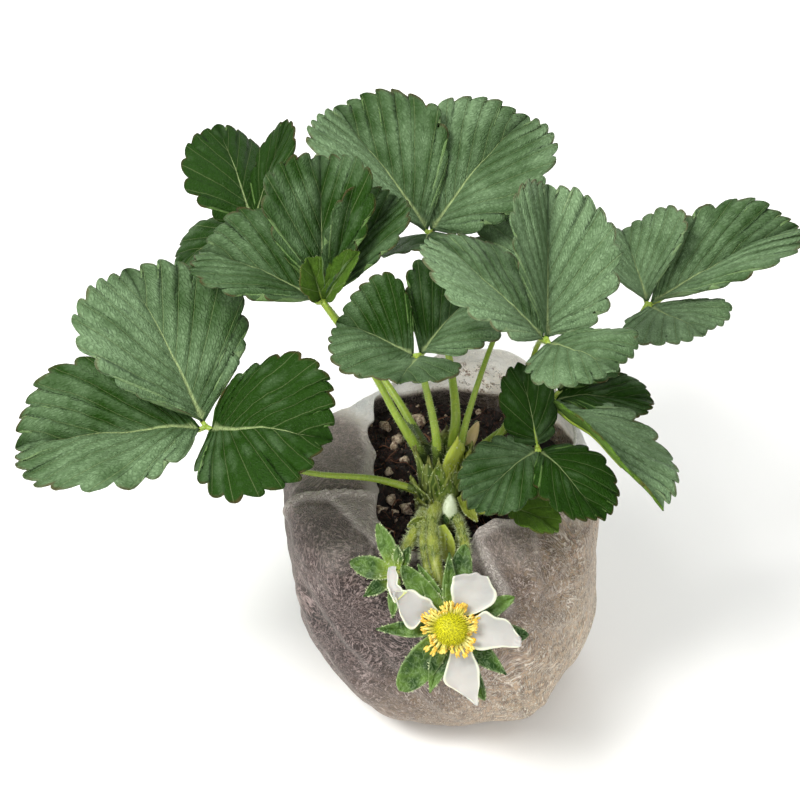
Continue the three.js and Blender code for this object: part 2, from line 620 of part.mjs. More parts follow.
// The yellow centre: a low dome with a ring of stamens.
function flowerCentreSolid() {
  const { right, rise } = bloomAxes(FLOWER_FACING);
  const base = 1.35;
  const place = (turn, reach, height) =>
    FLOWER_CENTRE.clone()
      .addScaledVector(right, reach * Math.cos(turn))
      .addScaledVector(rise, reach * Math.sin(turn))
      .addScaledVector(FLOWER_FACING, height);
  const profile = [[0, 0], [0.85, 0], [1, 0.25], [0.9, 0.5], [0.55, 0.82], [0, 0.95]];
  const dome = new THREE.LatheGeometry(
    profile.map(([r, h]) => new THREE.Vector2(r * DOME_RADIUS, base + h * DOME_RADIUS)),
    14,
  );
  const turned = new THREE.Quaternion().setFromUnitVectors(new THREE.Vector3(0, 1, 0), FLOWER_FACING);
  dome.applyQuaternion(turned).translate(FLOWER_CENTRE.x, FLOWER_CENTRE.y, FLOWER_CENTRE.z);
  const pieces = [toSolid(dome)];
  for (let i = 0; i < STAMENS; i += 1) {
    const turn = (i / STAMENS) * 2 * Math.PI;
    const reach = STAMEN_REACH - (i % 2) * 0.9;
    const tip = place(turn, reach, base + 2.2 + (i % 2) * 0.9);
    pieces.push(toSolid(stem([place(turn, DOME_RADIUS * 0.7, base + 0.8), tip], 0.35, 3, 1)));
    pieces.push(toSolid(new THREE.OctahedronGeometry(0.75).rotateZ(i).translate(tip.x, tip.y, tip.z)));
  }
  return join(pieces);
}

// What is left of the spent flower: its stalk, a small green button and the sepals.
function spentFlowerSolid() {
  const button = new THREE.IcosahedronGeometry(2.1, 1).translate(...SPENT_CENTRE.toArray());
  const back = SPENT_CENTRE.clone().addScaledVector(SPENT_FACING, -0.6);
  return join([
    toSolid(stem([...SPENT_STALK.map(vector), back], SPENT_STALK_RADIUS, STALK_SIDES, 9)),
    toSolid(button),
    ...SPENT_SEPALS.map((sepal) => bloomBlade(SPENT_CENTRE, SPENT_FACING, sepal, SEPAL_FORM)),
  ]);
}

// The crown with its papery sheaths, and a socket for everything that grows out of it.
function crownSolid() {
  let crown = join([toSolid(crownGeometry(0)), ...STIPULES.map((one) => toSolid(stipuleGeometry(one)))]);
  const sockets = [
    ...LEAVES.map((leaf) => stem([...leaf.stalk.map(vector), vector(leaf.hub)], leaf.radius + CLEARANCE)),
    stem(FLOWER_STALK.map(vector), FLOWER_STALK_RADIUS + CLEARANCE, STALK_SIDES, 12),
    stem(SPENT_STALK.map(vector), SPENT_STALK_RADIUS + CLEARANCE),
    ...BUDS.map((bud) => budGeometry({ ...bud, radius: bud.radius + CLEARANCE })),
  ];
  for (const socket of sockets) crown = crown.subtract(toSolid(socket));
  return largestPiece(crown);
}

const plant = new THREE.Group();

// Adds one named piece to the plant.
function add(name, solid, { color, roughness }) {
  const material = new THREE.MeshStandardMaterial({ color, roughness, metalness: 0 });
  const mesh = new THREE.Mesh(toGeometry(solid).translate(-SLUMP, 0, 0), material);
  mesh.name = name;
  plant.add(mesh);
}

const BAG_CLOTH = { color: 0x8f827b, roughness: 0.9 };
const SOIL_BROWN = { color: 0x2b211c, roughness: 0.95 };
const LEAF_GREEN = { color: 0x47683f, roughness: 0.55 };
const STALK_GREEN = { color: 0x93a83a, roughness: 0.5 };
const PETAL_WHITE = { color: 0xf2f0ea, roughness: 0.6 };
const POLLEN_YELLOW = { color: 0xd8c21c, roughness: 0.7 };

add("grow_bag", bagSolid(), BAG_CLOTH);
add("soil", soilSolid(), SOIL_BROWN);
add("crown", crownSolid(), STALK_GREEN);
for (const leaf of LEAVES) add(leaf.name, leafSolid(leaf), LEAF_GREEN);
add("flower_calyx_and_stalk", flowerGreenSolid(), LEAF_GREEN);
PETALS.forEach((petal, i) => {
  add(`petal_${i + 1}`, bloomBlade(FLOWER_CENTRE, FLOWER_FACING, petal, PETAL_FORM), PETAL_WHITE);
});
add("flower_centre", flowerCentreSolid(), POLLEN_YELLOW);
add("spent_flower_calyx_and_stalk", spentFlowerSolid(), LEAF_GREEN);
for (const bud of BUDS) add(bud.name, toSolid(budGeometry(bud)), STALK_GREEN);

export default plant;
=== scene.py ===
# %% [markdown]
# # A strawberry plant in a cloth nursery bag
# The CAD frame holds the plant's construction: every leaf, the crown, the flower, the soil and the bag,
# each at its real size and place. This lesson dresses that frame. Each plain solid is replaced by a
# finer piece of the same form, with its teeth, veins, hairs and wrinkles, and every surface gets a
# material built from nodes. The frame is loaded first, because each piece is placed by it and nothing
# is fitted by eye afterwards.

import math
import random

import bmesh
import bpy
import numpy as np
from mathutils import Matrix, Vector, noise


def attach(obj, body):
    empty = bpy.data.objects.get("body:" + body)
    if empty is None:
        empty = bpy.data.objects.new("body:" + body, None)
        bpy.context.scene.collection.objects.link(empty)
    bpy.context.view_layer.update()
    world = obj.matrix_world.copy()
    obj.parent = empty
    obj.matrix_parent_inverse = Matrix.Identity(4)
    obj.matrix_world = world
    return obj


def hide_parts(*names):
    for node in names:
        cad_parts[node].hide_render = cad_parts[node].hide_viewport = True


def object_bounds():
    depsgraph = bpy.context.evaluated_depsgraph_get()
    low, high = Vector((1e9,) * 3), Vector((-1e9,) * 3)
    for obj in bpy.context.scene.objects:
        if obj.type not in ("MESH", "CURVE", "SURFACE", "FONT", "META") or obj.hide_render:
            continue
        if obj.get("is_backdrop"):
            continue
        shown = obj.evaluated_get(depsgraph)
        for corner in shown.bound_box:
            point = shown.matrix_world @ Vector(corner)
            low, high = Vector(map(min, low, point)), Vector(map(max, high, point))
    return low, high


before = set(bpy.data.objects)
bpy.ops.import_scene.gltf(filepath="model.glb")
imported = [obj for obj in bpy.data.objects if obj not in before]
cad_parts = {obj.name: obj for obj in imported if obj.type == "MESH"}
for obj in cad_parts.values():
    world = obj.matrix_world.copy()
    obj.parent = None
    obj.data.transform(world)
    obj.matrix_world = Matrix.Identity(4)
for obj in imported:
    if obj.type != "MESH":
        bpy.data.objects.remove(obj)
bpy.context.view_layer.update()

# %% [markdown]
# The plant was laid out in millimetres round the middle of the bag's belly, while the frame's origin is
# the middle of the bag's foot, which stands a little to the right because the bag slumps. One small
# function turns a layout point into a point of the frame, so the rest of the lesson can use the
# layout's round numbers.

# %% From layout millimetres to metres
SLUMP = 4.5


def metres(point):
    return Vector((point[0] - SLUMP, point[1], point[2])) / 1000


# %% [markdown]
# The camera looks down on the plant at 42 degrees, through a longish lens, as a person would who bends
# over a pot on the ground and steps back a little. It is made first.

# %% Camera
SIGHT = (0, 0.743, -0.669)
lens = bpy.data.cameras.new("photo_camera")
lens.lens, lens.sensor_width = 93.6, 36
camera = bpy.data.objects.new("photo_camera", lens)
camera.location = metres((-10.1, -358.7, 410.8))
camera.rotation_mode = "QUATERNION"
camera.rotation_quaternion = Vector(SIGHT).to_track_quat("-Z", "Y")
bpy.context.scene.collection.objects.link(camera)
bpy.context.scene.camera = camera
print("camera at", [round(c, 3) for c in camera.location])

# %% [markdown]
# A plant photographed outdoors on a bright day gets light from the whole sky. Three big soft boxes and
# a pale world copy that: the main light comes from the upper left, the second stands behind the plant,
# where a level leaf mirrors it towards the camera, and the third fills in from the front. The second
# one gives strawberry leaves their bluish sheen.

# %% Light and floor


def soft_box(name, place, target, size, power, tint):
    light = bpy.data.lights.new(name, "AREA")
    light.size, light.energy, light.color = size, power, tint
    lamp = bpy.data.objects.new(name, light)
    lamp.location = place
    lamp.rotation_mode = "QUATERNION"
    lamp.rotation_quaternion = (Vector(target) - Vector(place)).to_track_quat("-Z", "Y")
    bpy.context.scene.collection.objects.link(lamp)


soft_box("main_soft_box", (-0.7, -0.3, 1.15), (0, 0, 0.07), 0.55, 19, (1.0, 0.99, 0.96))
soft_box("back_soft_box", (0.25, 1.0, 0.95), (0, 0, 0.08), 0.9, 6, (0.96, 0.98, 1.0))
soft_box("front_soft_box", (0.4, -1.0, 0.8), (0, 0, 0.06), 0.8, 5, (1.0, 0.99, 0.97))
world = bpy.data.worlds.new("pale_sky")
world.use_nodes = True
world.node_tree.nodes["Background"].inputs["Color"].default_value = (1.0, 1.0, 0.99, 1)
world.node_tree.nodes["Background"].inputs["Strength"].default_value = 0.55
bpy.context.scene.world = world
bpy.context.scene.view_settings.view_transform = "Standard"

floor_form = bmesh.new()
bmesh.ops.create_grid(floor_form, x_segments=4, y_segments=4, size=3)
floor_mesh = bpy.data.meshes.new("pale_floor")
floor_form.to_mesh(floor_mesh)
floor = bpy.data.objects.new("pale_floor", floor_mesh)
bpy.context.scene.collection.objects.link(floor)
floor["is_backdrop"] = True

# %% [markdown]
# ## Tools for the materials
# Colours are written as they are read from a picture, from 0 to 255, and turned into the linear values
# that Blender works with. The other helpers add one shader node each, so that a material reads as a
# short list of steps.

# %% Helpers for nodes


def colour(red, green, blue):
    def linear(value):
        value /= 255
        return value / 12.92 if value <= 0.04045 else ((value + 0.055) / 1.055) ** 2.4

    return (linear(red), linear(green), linear(blue), 1)


def plug(tree, socket, value):
    if isinstance(value, bpy.types.NodeSocket):
        tree.links.new(value, socket)
    else:
        socket.default_value = value


def add_node(tree, kind, sockets, **settings):
    node = tree.nodes.new(kind)
    for key, value in settings.items():
        setattr(node, key, value)
    for key, value in sockets.items():
        plug(tree, node.inputs[key], value)
    return node


def maths(tree, operation, *values):
    return add_node(tree, "ShaderNodeMath", dict(enumerate(values)), operation=operation).outputs[0]


def vector_maths(tree, operation, *values):
    return add_node(tree, "ShaderNodeVectorMath", dict(enumerate(values)), operation=operation).outputs[0]


def mixed(tree, factor, first, second):
    return add_node(tree, "ShaderNodeMix", {0: factor, 6: first, 7: second}, data_type="RGBA").outputs[2]


def tinted(tree, base, tint, mask, amount):
    return mixed(tree, maths(tree, "MULTIPLY", mask, amount), base, tint)


def ramp(tree, value, start, end, low=0.0, high=1.0):
    sockets = {"Value": value, "From Min": start, "From Max": end, "To Min": low, "To Max": high}
    return add_node(tree, "ShaderNodeMapRange", sockets, interpolation_type="SMOOTHSTEP").outputs["Result"]


def cloudy(tree, vector, scale, detail=3.0, roughness=0.5, distortion=0.0):
    sockets = {
        "Vector": vector, "Scale": scale, "Detail": detail, "Roughness": roughness, "Distortion": distortion
    }
    return add_node(tree, "ShaderNodeTexNoise", sockets).outputs["Fac"]


def clouded(tree, vector, clouds, start, end, first, second):
    return mixed(tree, ramp(tree, cloudy(tree, vector, *clouds), start, end), first, second)


def new_group(name, inputs, outputs):
    group = bpy.data.node_groups.new(name, "ShaderNodeTree")
    for label, kind, value in inputs:
        socket = group.interface.new_socket(label, in_out="INPUT", socket_type=kind)
        if value is not None:
            socket.default_value = value
    for label, kind in outputs:
        group.interface.new_socket(label, in_out="OUTPUT", socket_type=kind)
    return group, group.nodes.new("NodeGroupInput").outputs, group.nodes.new("NodeGroupOutput").inputs


def use_group(tree, group, sockets):
    node = tree.nodes.new("ShaderNodeGroup")
    node.node_tree = group
    for key, value in sockets.items():
        plug(tree, node.inputs[key], value)
    return node.outputs


def new_material(name, roughness):
    material = bpy.data.materials.new(name)
    material.use_nodes = True
    tree = material.node_tree
    shader = tree.nodes["Principled BSDF"]
    shader.inputs["Roughness"].default_value = roughness
    return material, tree, shader


def bump(tree, shader, height, distance):
    node = add_node(tree, "ShaderNodeBump", {"Height": height, "Distance": distance, "Strength": 1.0})
    tree.links.new(node.outputs["Normal"], shader.inputs["Normal"])


def see_through(shader, weight, depth):
    shader.inputs["Subsurface Weight"].default_value = weight
    shader.inputs["Subsurface Scale"].default_value = depth


def place_on(tree):
    return add_node(tree, "ShaderNodeTexCoord", {}).outputs["Object"]


def parts_of(tree, vector):
    return add_node(tree, "ShaderNodeSeparateXYZ", {"Vector": vector}).outputs


def surface_place(tree, name):
    return add_node(tree, "ShaderNodeAttribute", {}, attribute_name=name).outputs["Vector"]


def mottled_material(name, roughness, scale, first, second):
    material, tree, shader = new_material(name, roughness)
    plug(tree, shader.inputs["Base Color"], mixed(tree, cloudy(tree, place_on(tree), scale), first, second))
    return material


# %% [markdown]
# Two effects come back in many of the plant's finishes, so each is a node group with named inputs. The
# first draws a leaf's net of veins. Every leaf point carries where it lies on its blade: across from
# the midrib, along in teeth, and its tone, which above zero paints a pale bluish sheen on the blade
# and below zero makes it a fresh young green. A side vein runs to each whole tooth, and a fine net
# fills the fields between.

# %% Node group: leaf veins
leaf_veins, given, result = new_group(
    "leaf_veins",
    [("Place", "NodeSocketVector", None), ("Net size", "NodeSocketFloat", 1.0)],
    [(name, "NodeSocketFloat") for name in ("Midrib", "Side veins", "Net", "Between", "Margin", "Tone")],
)
parts = parts_of(leaf_veins, given["Place"])
out_from_rib = maths(leaf_veins, "ABSOLUTE", parts["X"])
from_vein = maths(leaf_veins, "PINGPONG", parts["Y"], 0.5)
vein_width = maths(leaf_veins, "MULTIPLY_ADD", out_from_rib, -0.04, 0.075)
side_vein = maths(leaf_veins, "SUBTRACT", 1.0, ramp(leaf_veins, from_vein, 0.0, vein_width))
side_vein = maths(leaf_veins, "MULTIPLY", side_vein, ramp(leaf_veins, parts["Y"], 0.4, 0.9))
leaf_veins.links.new(side_vein, result["Side veins"])
rib_width = ramp(leaf_veins, parts["Y"], 0.0, 4.0, 0.16, 0.035)
leaf_veins.links.new(
    maths(leaf_veins, "SUBTRACT", 1.0, ramp(leaf_veins, out_from_rib, 0.006, rib_width)), result["Midrib"]
)
stretch = vector_maths(leaf_veins, "MULTIPLY", given["Place"], (24, 6, 7))
wander = add_node(leaf_veins, "ShaderNodeTexNoise", {"Vector": stretch, "Scale": 0.8, "Detail": 2.0})
moved = vector_maths(leaf_veins, "MULTIPLY_ADD", wander.outputs["Color"], (0.9, 0.9, 0), stretch)
net_sockets = {"Vector": moved, "Scale": given["Net size"]}
net = add_node(
    leaf_veins, "ShaderNodeTexVoronoi", net_sockets, feature="DISTANCE_TO_EDGE"
).outputs["Distance"]
leaf_veins.links.new(ramp(leaf_veins, net, 0.0, 0.3), result["Net"])
leaf_veins.links.new(ramp(leaf_veins, from_vein, 0.02, 0.5), result["Between"])
leaf_veins.links.new(ramp(leaf_veins, out_from_rib, 0.955, 1.0), result["Margin"])
leaf_veins.links.new(parts["Z"], result["Tone"])
print("leaf_veins group:", len(leaf_veins.nodes), "nodes")

# %% [markdown]
# The second group is a tangle of fine threads: thin bright lines where a stretched noise passes its
# middle value. With different sizes it gives the felted fibres of the bag, the roots and shreds in the
# soil, and the soft streaks on stalks and petals.

# %% Node group: threads
threads, given, result = new_group(
    "threads",
    [
        ("Place", "NodeSocketVector", None),
        ("Scale", "NodeSocketFloat", 1000.0),
        ("Stretch", "NodeSocketVector", (1.0, 1.0, 1.0)),
        ("Tangle", "NodeSocketFloat", 1.5),
        ("Thickness", "NodeSocketFloat", 0.05),
    ],
    [("Threads", "NodeSocketFloat"), ("Clouds", "NodeSocketFloat")],
)
stretched = vector_maths(threads, "MULTIPLY", given["Place"], given["Stretch"])
field = cloudy(threads, stretched, given["Scale"], 1.6, 0.5, given["Tangle"])
from_middle = maths(threads, "ABSOLUTE", maths(threads, "SUBTRACT", field, 0.5))
line = maths(threads, "SUBTRACT", 1.0, ramp(threads, from_middle, 0.0, given["Thickness"]))
threads.links.new(line, result["Threads"])
threads.links.new(field, result["Clouds"])
print("threads group:", len(threads.nodes), "nodes")


def tangle_on(tree, place, scale, stretch, tangle, thickness):
    sockets = {"Place": place, "Scale": scale, "Stretch": stretch, "Tangle": tangle, "Thickness": thickness}
    return use_group(tree, threads, sockets)


# %% [markdown]
# ## The plant's finishes
# A strawberry leaf is dark green with a dull shine. Its veins are paler and sunk, the fields between
# them swell up, and the tips of the teeth are brownish. The underside is pale and matt. One function
# makes both faces, because they share the veins and differ only in colour, shine and in whether the
# veins stand out or in.

# %% Leaf materials


def leaf_material(name, deep, blue, vein, roughness, height, brown):
    material, tree, shader = new_material(name, roughness)
    place = surface_place(tree, "leaf_place")
    spot = place_on(tree)
    mask = use_group(tree, leaf_veins, {"Place": place, "Net size": 1.0})
    patches = cloudy(tree, spot, 75.0, 4.0, 0.6)
    tone = maths(tree, "ADD", mask["Tone"], ramp(tree, patches, 0.3, 0.7, -0.28, 0.24))
    # Besides random patches, the tone carries painted sheen and light: it mixes the deep green towards a pale
    # bluish green, set per leaflet half, and is raised on the swollen fields between the veins, which paints
    # the vein grooves in shade.
    tone = maths(tree, "MULTIPLY_ADD", mask["Between"], 0.22, maths(tree, "SUBTRACT", tone, 0.12))
    base = mixed(tree, tone, deep, blue)
    fresh = ramp(tree, mask["Tone"], -0.2, -0.8)
    base = mixed(tree, fresh, base, colour(102, 138, 46))
    net_dark = maths(tree, "MULTIPLY", maths(tree, "SUBTRACT", 1.0, mask["Net"]), 0.3)
    base = mixed(tree, net_dark, base, deep)
    grain = ramp(tree, cloudy(tree, spot, 1000.0, 3.0, 0.7), 0.36, 0.64, 0.0, 0.32)
    base = mixed(tree, grain, base, deep)
    base = tinted(tree, base, vein, mask["Side veins"], 0.22)
    base = tinted(tree, base, vein, mask["Midrib"], 0.75)
    specks = ramp(tree, cloudy(tree, spot, 2600.0, 2.0, 0.6), 0.62, 0.78)
    base = tinted(tree, base, colour(180, 196, 160), specks, 0.1)
    rusty = ramp(tree, cloudy(tree, spot, 160.0), 0.42, 0.62, 0.0, brown)
    base = tinted(tree, base, colour(84, 62, 40), mask["Margin"], rusty)
    tree.links.new(base, shader.inputs["Base Color"])
    dull = maths(tree, "MULTIPLY_ADD", patches, 0.16, roughness - 0.08)
    tree.links.new(dull, shader.inputs["Roughness"])
    shader.inputs["Specular IOR Level"].default_value = 0.1
    relief = maths(tree, "MULTIPLY", mask["Side veins"], -0.55)
    relief = maths(tree, "MULTIPLY_ADD", mask["Midrib"], -0.6, relief)
    relief = maths(tree, "MULTIPLY_ADD", mask["Net"], 0.42, relief)
    relief = maths(tree, "MULTIPLY_ADD", cloudy(tree, spot, 1500.0, 3.0, 0.6), 0.55, relief)
    bump(tree, shader, relief, height)
    return material


leaf_top = leaf_material(
    "leaf_top", colour(30, 61, 7), colour(132, 160, 120), colour(170, 190, 130), 0.52, 0.00036, 0.6
)
leaf_under = leaf_material(
    "leaf_underside", colour(90, 120, 62), colour(140, 162, 124), colour(178, 194, 140), 0.7, -0.0003, 0.2
)

# %% [markdown]
# Stalks are yellow-green and a little see-through, redder where they leave the crown, and covered with
# soft white hairs. The hairs are modelled, so the skin itself only needs long faint streaks. Sepals are
# a fresher green with pale silk and a pale rim. Sheaths and bracts read their tone from the table that
# places them; the tone paints light and shade on them, bright yellow-green where lit and dark green
# where shaded.

# %% Stalk, hair, sepal and sheath materials
stalk_skin, tree, shader = new_material("stalk_skin", 0.42)
spot = place_on(tree)
streaks = tangle_on(tree, spot, 260.0, (4.0, 4.0, 0.5), 0.4, 0.2)
patches = cloudy(tree, spot, 70.0)
skin = mixed(tree, patches, colour(118, 146, 34), colour(172, 192, 74))
skin = tinted(tree, skin, colour(96, 128, 30), streaks["Threads"], 0.35)
height_above = parts_of(tree, spot)["Z"]
skin = mixed(tree, ramp(tree, height_above, 0.07, 0.058, 0.0, 0.35), skin, colour(150, 120, 62))
tree.links.new(skin, shader.inputs["Base Color"])
see_through(shader, 0.12, 0.001)
bump(tree, shader, streaks["Clouds"], 0.0002)

flower_stalk_skin, tree, shader = new_material("flower_stalk_skin", 0.5)
spot = place_on(tree)
streaks = tangle_on(tree, spot, 420.0, (2.4, 0.7, 0.9), 0.8, 0.16)
skin = clouded(tree, spot, (160.0, 4.0, 0.6), 0.34, 0.66, colour(62, 80, 14), colour(132, 142, 44))
skin = tinted(tree, skin, colour(176, 182, 96), streaks["Threads"], 0.35)
tree.links.new(skin, shader.inputs["Base Color"])
see_through(shader, 0.12, 0.001)
bump(tree, shader, streaks["Clouds"], 0.0003)

hair_white = mottled_material("hair_white", 0.6, 120.0, colour(164, 180, 116), colour(208, 216, 178))

sepal_green, tree, shader = new_material("sepal_green", 0.52)
spot = place_on(tree)
place = parts_of(tree, surface_place(tree, "leaf_place"))
silk = tangle_on(tree, spot, 900.0, (1.0, 1.0, 0.6), 0.8, 0.07)
green = clouded(tree, spot, (150.0, 4.0, 0.6), 0.36, 0.64, colour(26, 56, 8), colour(88, 118, 48))
green = mixed(tree, ramp(tree, place["Y"], 0.5, 0.0, 0.0, 0.75), green, colour(140, 160, 50))
green = tinted(tree, green, colour(160, 186, 136), silk["Threads"], 0.2)
rim = ramp(tree, maths(tree, "ABSOLUTE", place["X"]), 0.9, 1.0, 0.0, 0.22)
green = mixed(tree, rim, green, colour(176, 196, 140))
tree.links.new(green, shader.inputs["Base Color"])
shader.inputs["Specular IOR Level"].default_value = 0.22
bump(tree, shader, silk["Clouds"], 0.0003)

sheath_skin, tree, shader = new_material("sheath_skin", 0.5)
spot = place_on(tree)
streaks = tangle_on(tree, spot, 300.0, (3.0, 3.0, 0.6), 0.5, 0.15)
skin = clouded(tree, spot, (130.0, 4.0), 0.38, 0.62, colour(16, 38, 3), colour(76, 106, 18))
place = parts_of(tree, surface_place(tree, "leaf_place"))
# Painted light and shade: a tone above zero paints the sheath lit, bright yellow-green, and below zero
# shaded, dark green.
skin = mixed(tree, ramp(tree, place["Z"], 0.0, 1.0, 0.0, 0.85), skin, colour(166, 180, 44))
skin = mixed(tree, ramp(tree, place["Z"], 0.0, -1.0, 0.0, 0.8), skin, colour(24, 38, 7))
skin = tinted(tree, skin, colour(160, 172, 88), streaks["Threads"], 0.4)
skin = mixed(tree, ramp(tree, place["Y"], 0.7, 1.0, 0.0, 0.3), skin, colour(128, 116, 54))
rim = ramp(tree, maths(tree, "ABSOLUTE", place["X"]), 0.88, 1.0, 0.0, 0.3)
skin = mixed(tree, rim, skin, colour(176, 186, 110))
height_above = parts_of(tree, spot)["Z"]
skin = mixed(tree, ramp(tree, height_above, 0.066, 0.056, 0.0, 0.55), skin, colour(84, 62, 26))
tree.links.new(skin, shader.inputs["Base Color"])
bump(tree, shader, streaks["Clouds"], 0.0003)

# %% [markdown]
# Petals are thin and creamy white with a greenish foot. Pollen-bearing parts are a warm yellow that
# varies from lemon to orange, which keeps the flower's centre from looking like one yellow lump.

# %% Flower materials
petal_white, tree, shader = new_material("petal_white", 0.5)
spot = place_on(tree)
place = parts_of(tree, surface_place(tree, "leaf_place"))
folds = tangle_on(tree, spot, 420.0, (1.0, 1.0, 1.0), 0.8, 0.12)
white = clouded(tree, spot, (90.0, 1.0), 0.3, 0.7, colour(164, 164, 161), colour(186, 184, 178))
white = mixed(tree, ramp(tree, place["Y"], 0.22, 0.0, 0.0, 0.75), white, colour(206, 206, 110))
rim = ramp(tree, maths(tree, "ABSOLUTE", place["X"]), 0.82, 0.97, 0.0, 0.8)
white = mixed(tree, rim, white, colour(222, 224, 200))
tree.links.new(white, shader.inputs["Base Color"])
see_through(shader, 0.1, 0.002)
bump(tree, shader, folds["Clouds"], 0.00012)


def yellow_material(name, first, second, scale):
    material, tree, shader = new_material(name, 0.6)
    spot = place_on(tree)
    yellow = clouded(tree, spot, (scale, 2.0), 0.35, 0.65, first, second)
    tree.links.new(yellow, shader.inputs["Base Color"])
    bump(tree, shader, cloudy(tree, spot, 4000.0), 0.0001)
    return material


pistil_yellow = yellow_material("pistil_yellow", colour(172, 170, 1), colour(214, 210, 8), 1800.0)
anther_gold = yellow_material("anther_gold", colour(226, 178, 54), colour(240, 216, 110), 420.0)
filament_pale = yellow_material("filament_pale", colour(208, 200, 78), colour(230, 222, 136), 400.0)

# %% [markdown]
# The bag is felted from fine plastic threads, greyish pink, and thin enough that the dark wet soil
# shows through it. So its colour depends on what lies behind: brownish mauve where it is full, pale
# where it stands free above the soil or lies double. Those two facts are worked out with the shape and
# stored on the mesh, and where the cloth is free it also lets light through. Light is painted into the
# colour as well: the free cloth is painted brighter than its own pale colour, the cloth and its threads
# are painted lighter and warmer towards the right and darker to the left, and a pale sheen is painted
# where the cloth turns away from the view. A slow noise pushes the threads' place about, so that they
# run in swirls.

# %% Bag cloth material
bag_cloth, tree, shader = new_material("bag_cloth", 0.8)
spot = place_on(tree)
facts = parts_of(tree, surface_place(tree, "cloth_place"))
swirl = add_node(tree, "ShaderNodeTexNoise", {"Vector": spot, "Scale": 48.0, "Detail": 1.0}).outputs["Color"]
drawn = vector_maths(tree, "MULTIPLY_ADD", swirl, (0.02, 0.02, 0.02), spot)
fine = tangle_on(tree, drawn, 1450.0, (1.0, 1.0, 0.3), 0.5, 0.082)
crossing = tangle_on(tree, drawn, 1400.0, (0.3, 0.3, 1.0), 0.5, 0.06)
blots = cloudy(tree, spot, 48.0, 4.0, 0.6, 0.3)
wet = mixed(tree, ramp(tree, blots, 0.36, 0.64), colour(12, 7, 7), colour(51, 37, 34))
# Painted light: the cloth is painted lighter and warmer towards the right and darker to the left, as if lit
# from the right; the pale swathes are also painted stronger on the right.
painted_light_axes = parts_of(tree, spot)
slanting = maths(tree, "SUBTRACT", painted_light_axes["X"], maths(tree, "MULTIPLY", painted_light_axes["Z"], 0.8))
painted_light_right = ramp(tree, slanting, -0.054, 0.018)
swathes = ramp(tree, cloudy(tree, spot, 17.0, 2.0), 0.42, 0.62, 0.0, 0.5)
swathes = maths(tree, "MULTIPLY", swathes, maths(tree, "MULTIPLY_ADD", painted_light_right, 0.8, 0.2))
wet = mixed(tree, swathes, wet, colour(168, 146, 138))
wet = tinted(tree, wet, colour(220, 191, 156), painted_light_right, 0.86)
speckle = ramp(tree, cloudy(tree, spot, 560.0, 4.0, 0.75), 0.44, 0.58)
wet = tinted(tree, wet, colour(36, 27, 25), speckle, 0.6)
wet = tinted(tree, wet, colour(158, 138, 132), crossing["Threads"], 0.45)
# The free cloth's near-white is partly its own pale colour, partly painted light standing in for light
# shining through it.
free = mixed(tree, ramp(tree, blots, 0.3, 0.7), colour(250, 236, 220), colour(255, 250, 242))
soiled = ramp(tree, cloudy(tree, spot, 420.0, 5.0, 0.8), 0.53, 0.59)
free = tinted(tree, free, colour(222, 190, 156), facts["Z"], 0.3)
free = tinted(tree, free, colour(92, 64, 46), soiled, facts["Z"])
cloth = mixed(tree, facts["X"], wet, free)
# Doubled cloth is paler; the same note carries the pale band on the mouth's rim, partly the cut edge and
# partly a painted highlight.
cloth = tinted(tree, cloth, colour(200, 191, 185), facts["Y"], 0.85)
# Painted light: the threads are painted brighter, and show more, towards the right.
thread = mixed(tree, painted_light_right, colour(186, 166, 162), colour(255, 248, 230))
thread = mixed(tree, facts["X"], thread, colour(250, 240, 228))
strength = maths(tree, "MULTIPLY_ADD", painted_light_right, 0.42, 0.53)
cloth = tinted(tree, cloth, thread, fine["Threads"], strength)
smudge = ramp(tree, cloudy(tree, spot, 120.0, 3.0, 0.6), 0.6, 0.7)
cloth = tinted(tree, cloth, colour(200, 188, 182), smudge, 0.5)
# Painted sheen: the cloth is painted paler where its surface turns away from the view.
painted_sheen_facing = add_node(tree, "ShaderNodeLayerWeight", {"Blend": 0.3}).outputs["Facing"]
cloth = tinted(tree, cloth, colour(206, 198, 190), maths(tree, "POWER", painted_sheen_facing, 2.0), 0.4)
tree.links.new(cloth, shader.inputs["Base Color"])
see_through(shader, 0.0, 0.004)
shader.inputs["Subsurface Radius"].default_value = (1.0, 0.95, 0.88)
tree.links.new(facts["X"], shader.inputs["Subsurface Weight"])
lumps = maths(tree, "ADD", fine["Threads"], maths(tree, "MULTIPLY", crossing["Clouds"], 1.4))
bump(tree, shader, lumps, 0.00035)

# %% [markdown]
# Potting soil is nearly black when wet, with reddish shreds of bark and coir and round white grains of
# perlite. The grains are real lumps with their own dusty finish.

# %% Soil, perlite and floor materials
soil_dark, tree, shader = new_material("soil_dark", 0.85)
spot = place_on(tree)
shreds = tangle_on(tree, spot, 330.0, (1.0, 0.6, 1.0), 2.6, 0.03)
earth = clouded(tree, spot, (240.0, 5.0, 0.7), 0.36, 0.66, colour(11, 8, 8), colour(42, 29, 25))
earth = tinted(tree, earth, colour(112, 66, 48), shreds["Threads"], 0.5)
tree.links.new(earth, shader.inputs["Base Color"])
bump(tree, shader, maths(tree, "ADD", shreds["Clouds"], cloudy(tree, spot, 1400.0, 4.0, 0.7)), 0.0007)

bark_shred = mottled_material("bark_shred", 0.75, 90.0, colour(70, 36, 26), colour(146, 98, 70))

perlite_dusty, tree, shader = new_material("perlite_dusty", 0.9)
spot = place_on(tree)
grit = cloudy(tree, spot, 900.0, 4.0, 0.7)
dusty = mixed(tree, ramp(tree, grit, 0.4, 0.6), colour(122, 98, 80), colour(222, 202, 178))
tree.links.new(dusty, shader.inputs["Base Color"])
bump(tree, shader, grit, 0.0005)

floor_paint = mottled_material("floor_paint", 0.9, 3.0, colour(246, 246, 245), colour(250, 250, 249))
floor_mesh.materials.append(floor_paint)
print("materials:", len(bpy.data.materials))

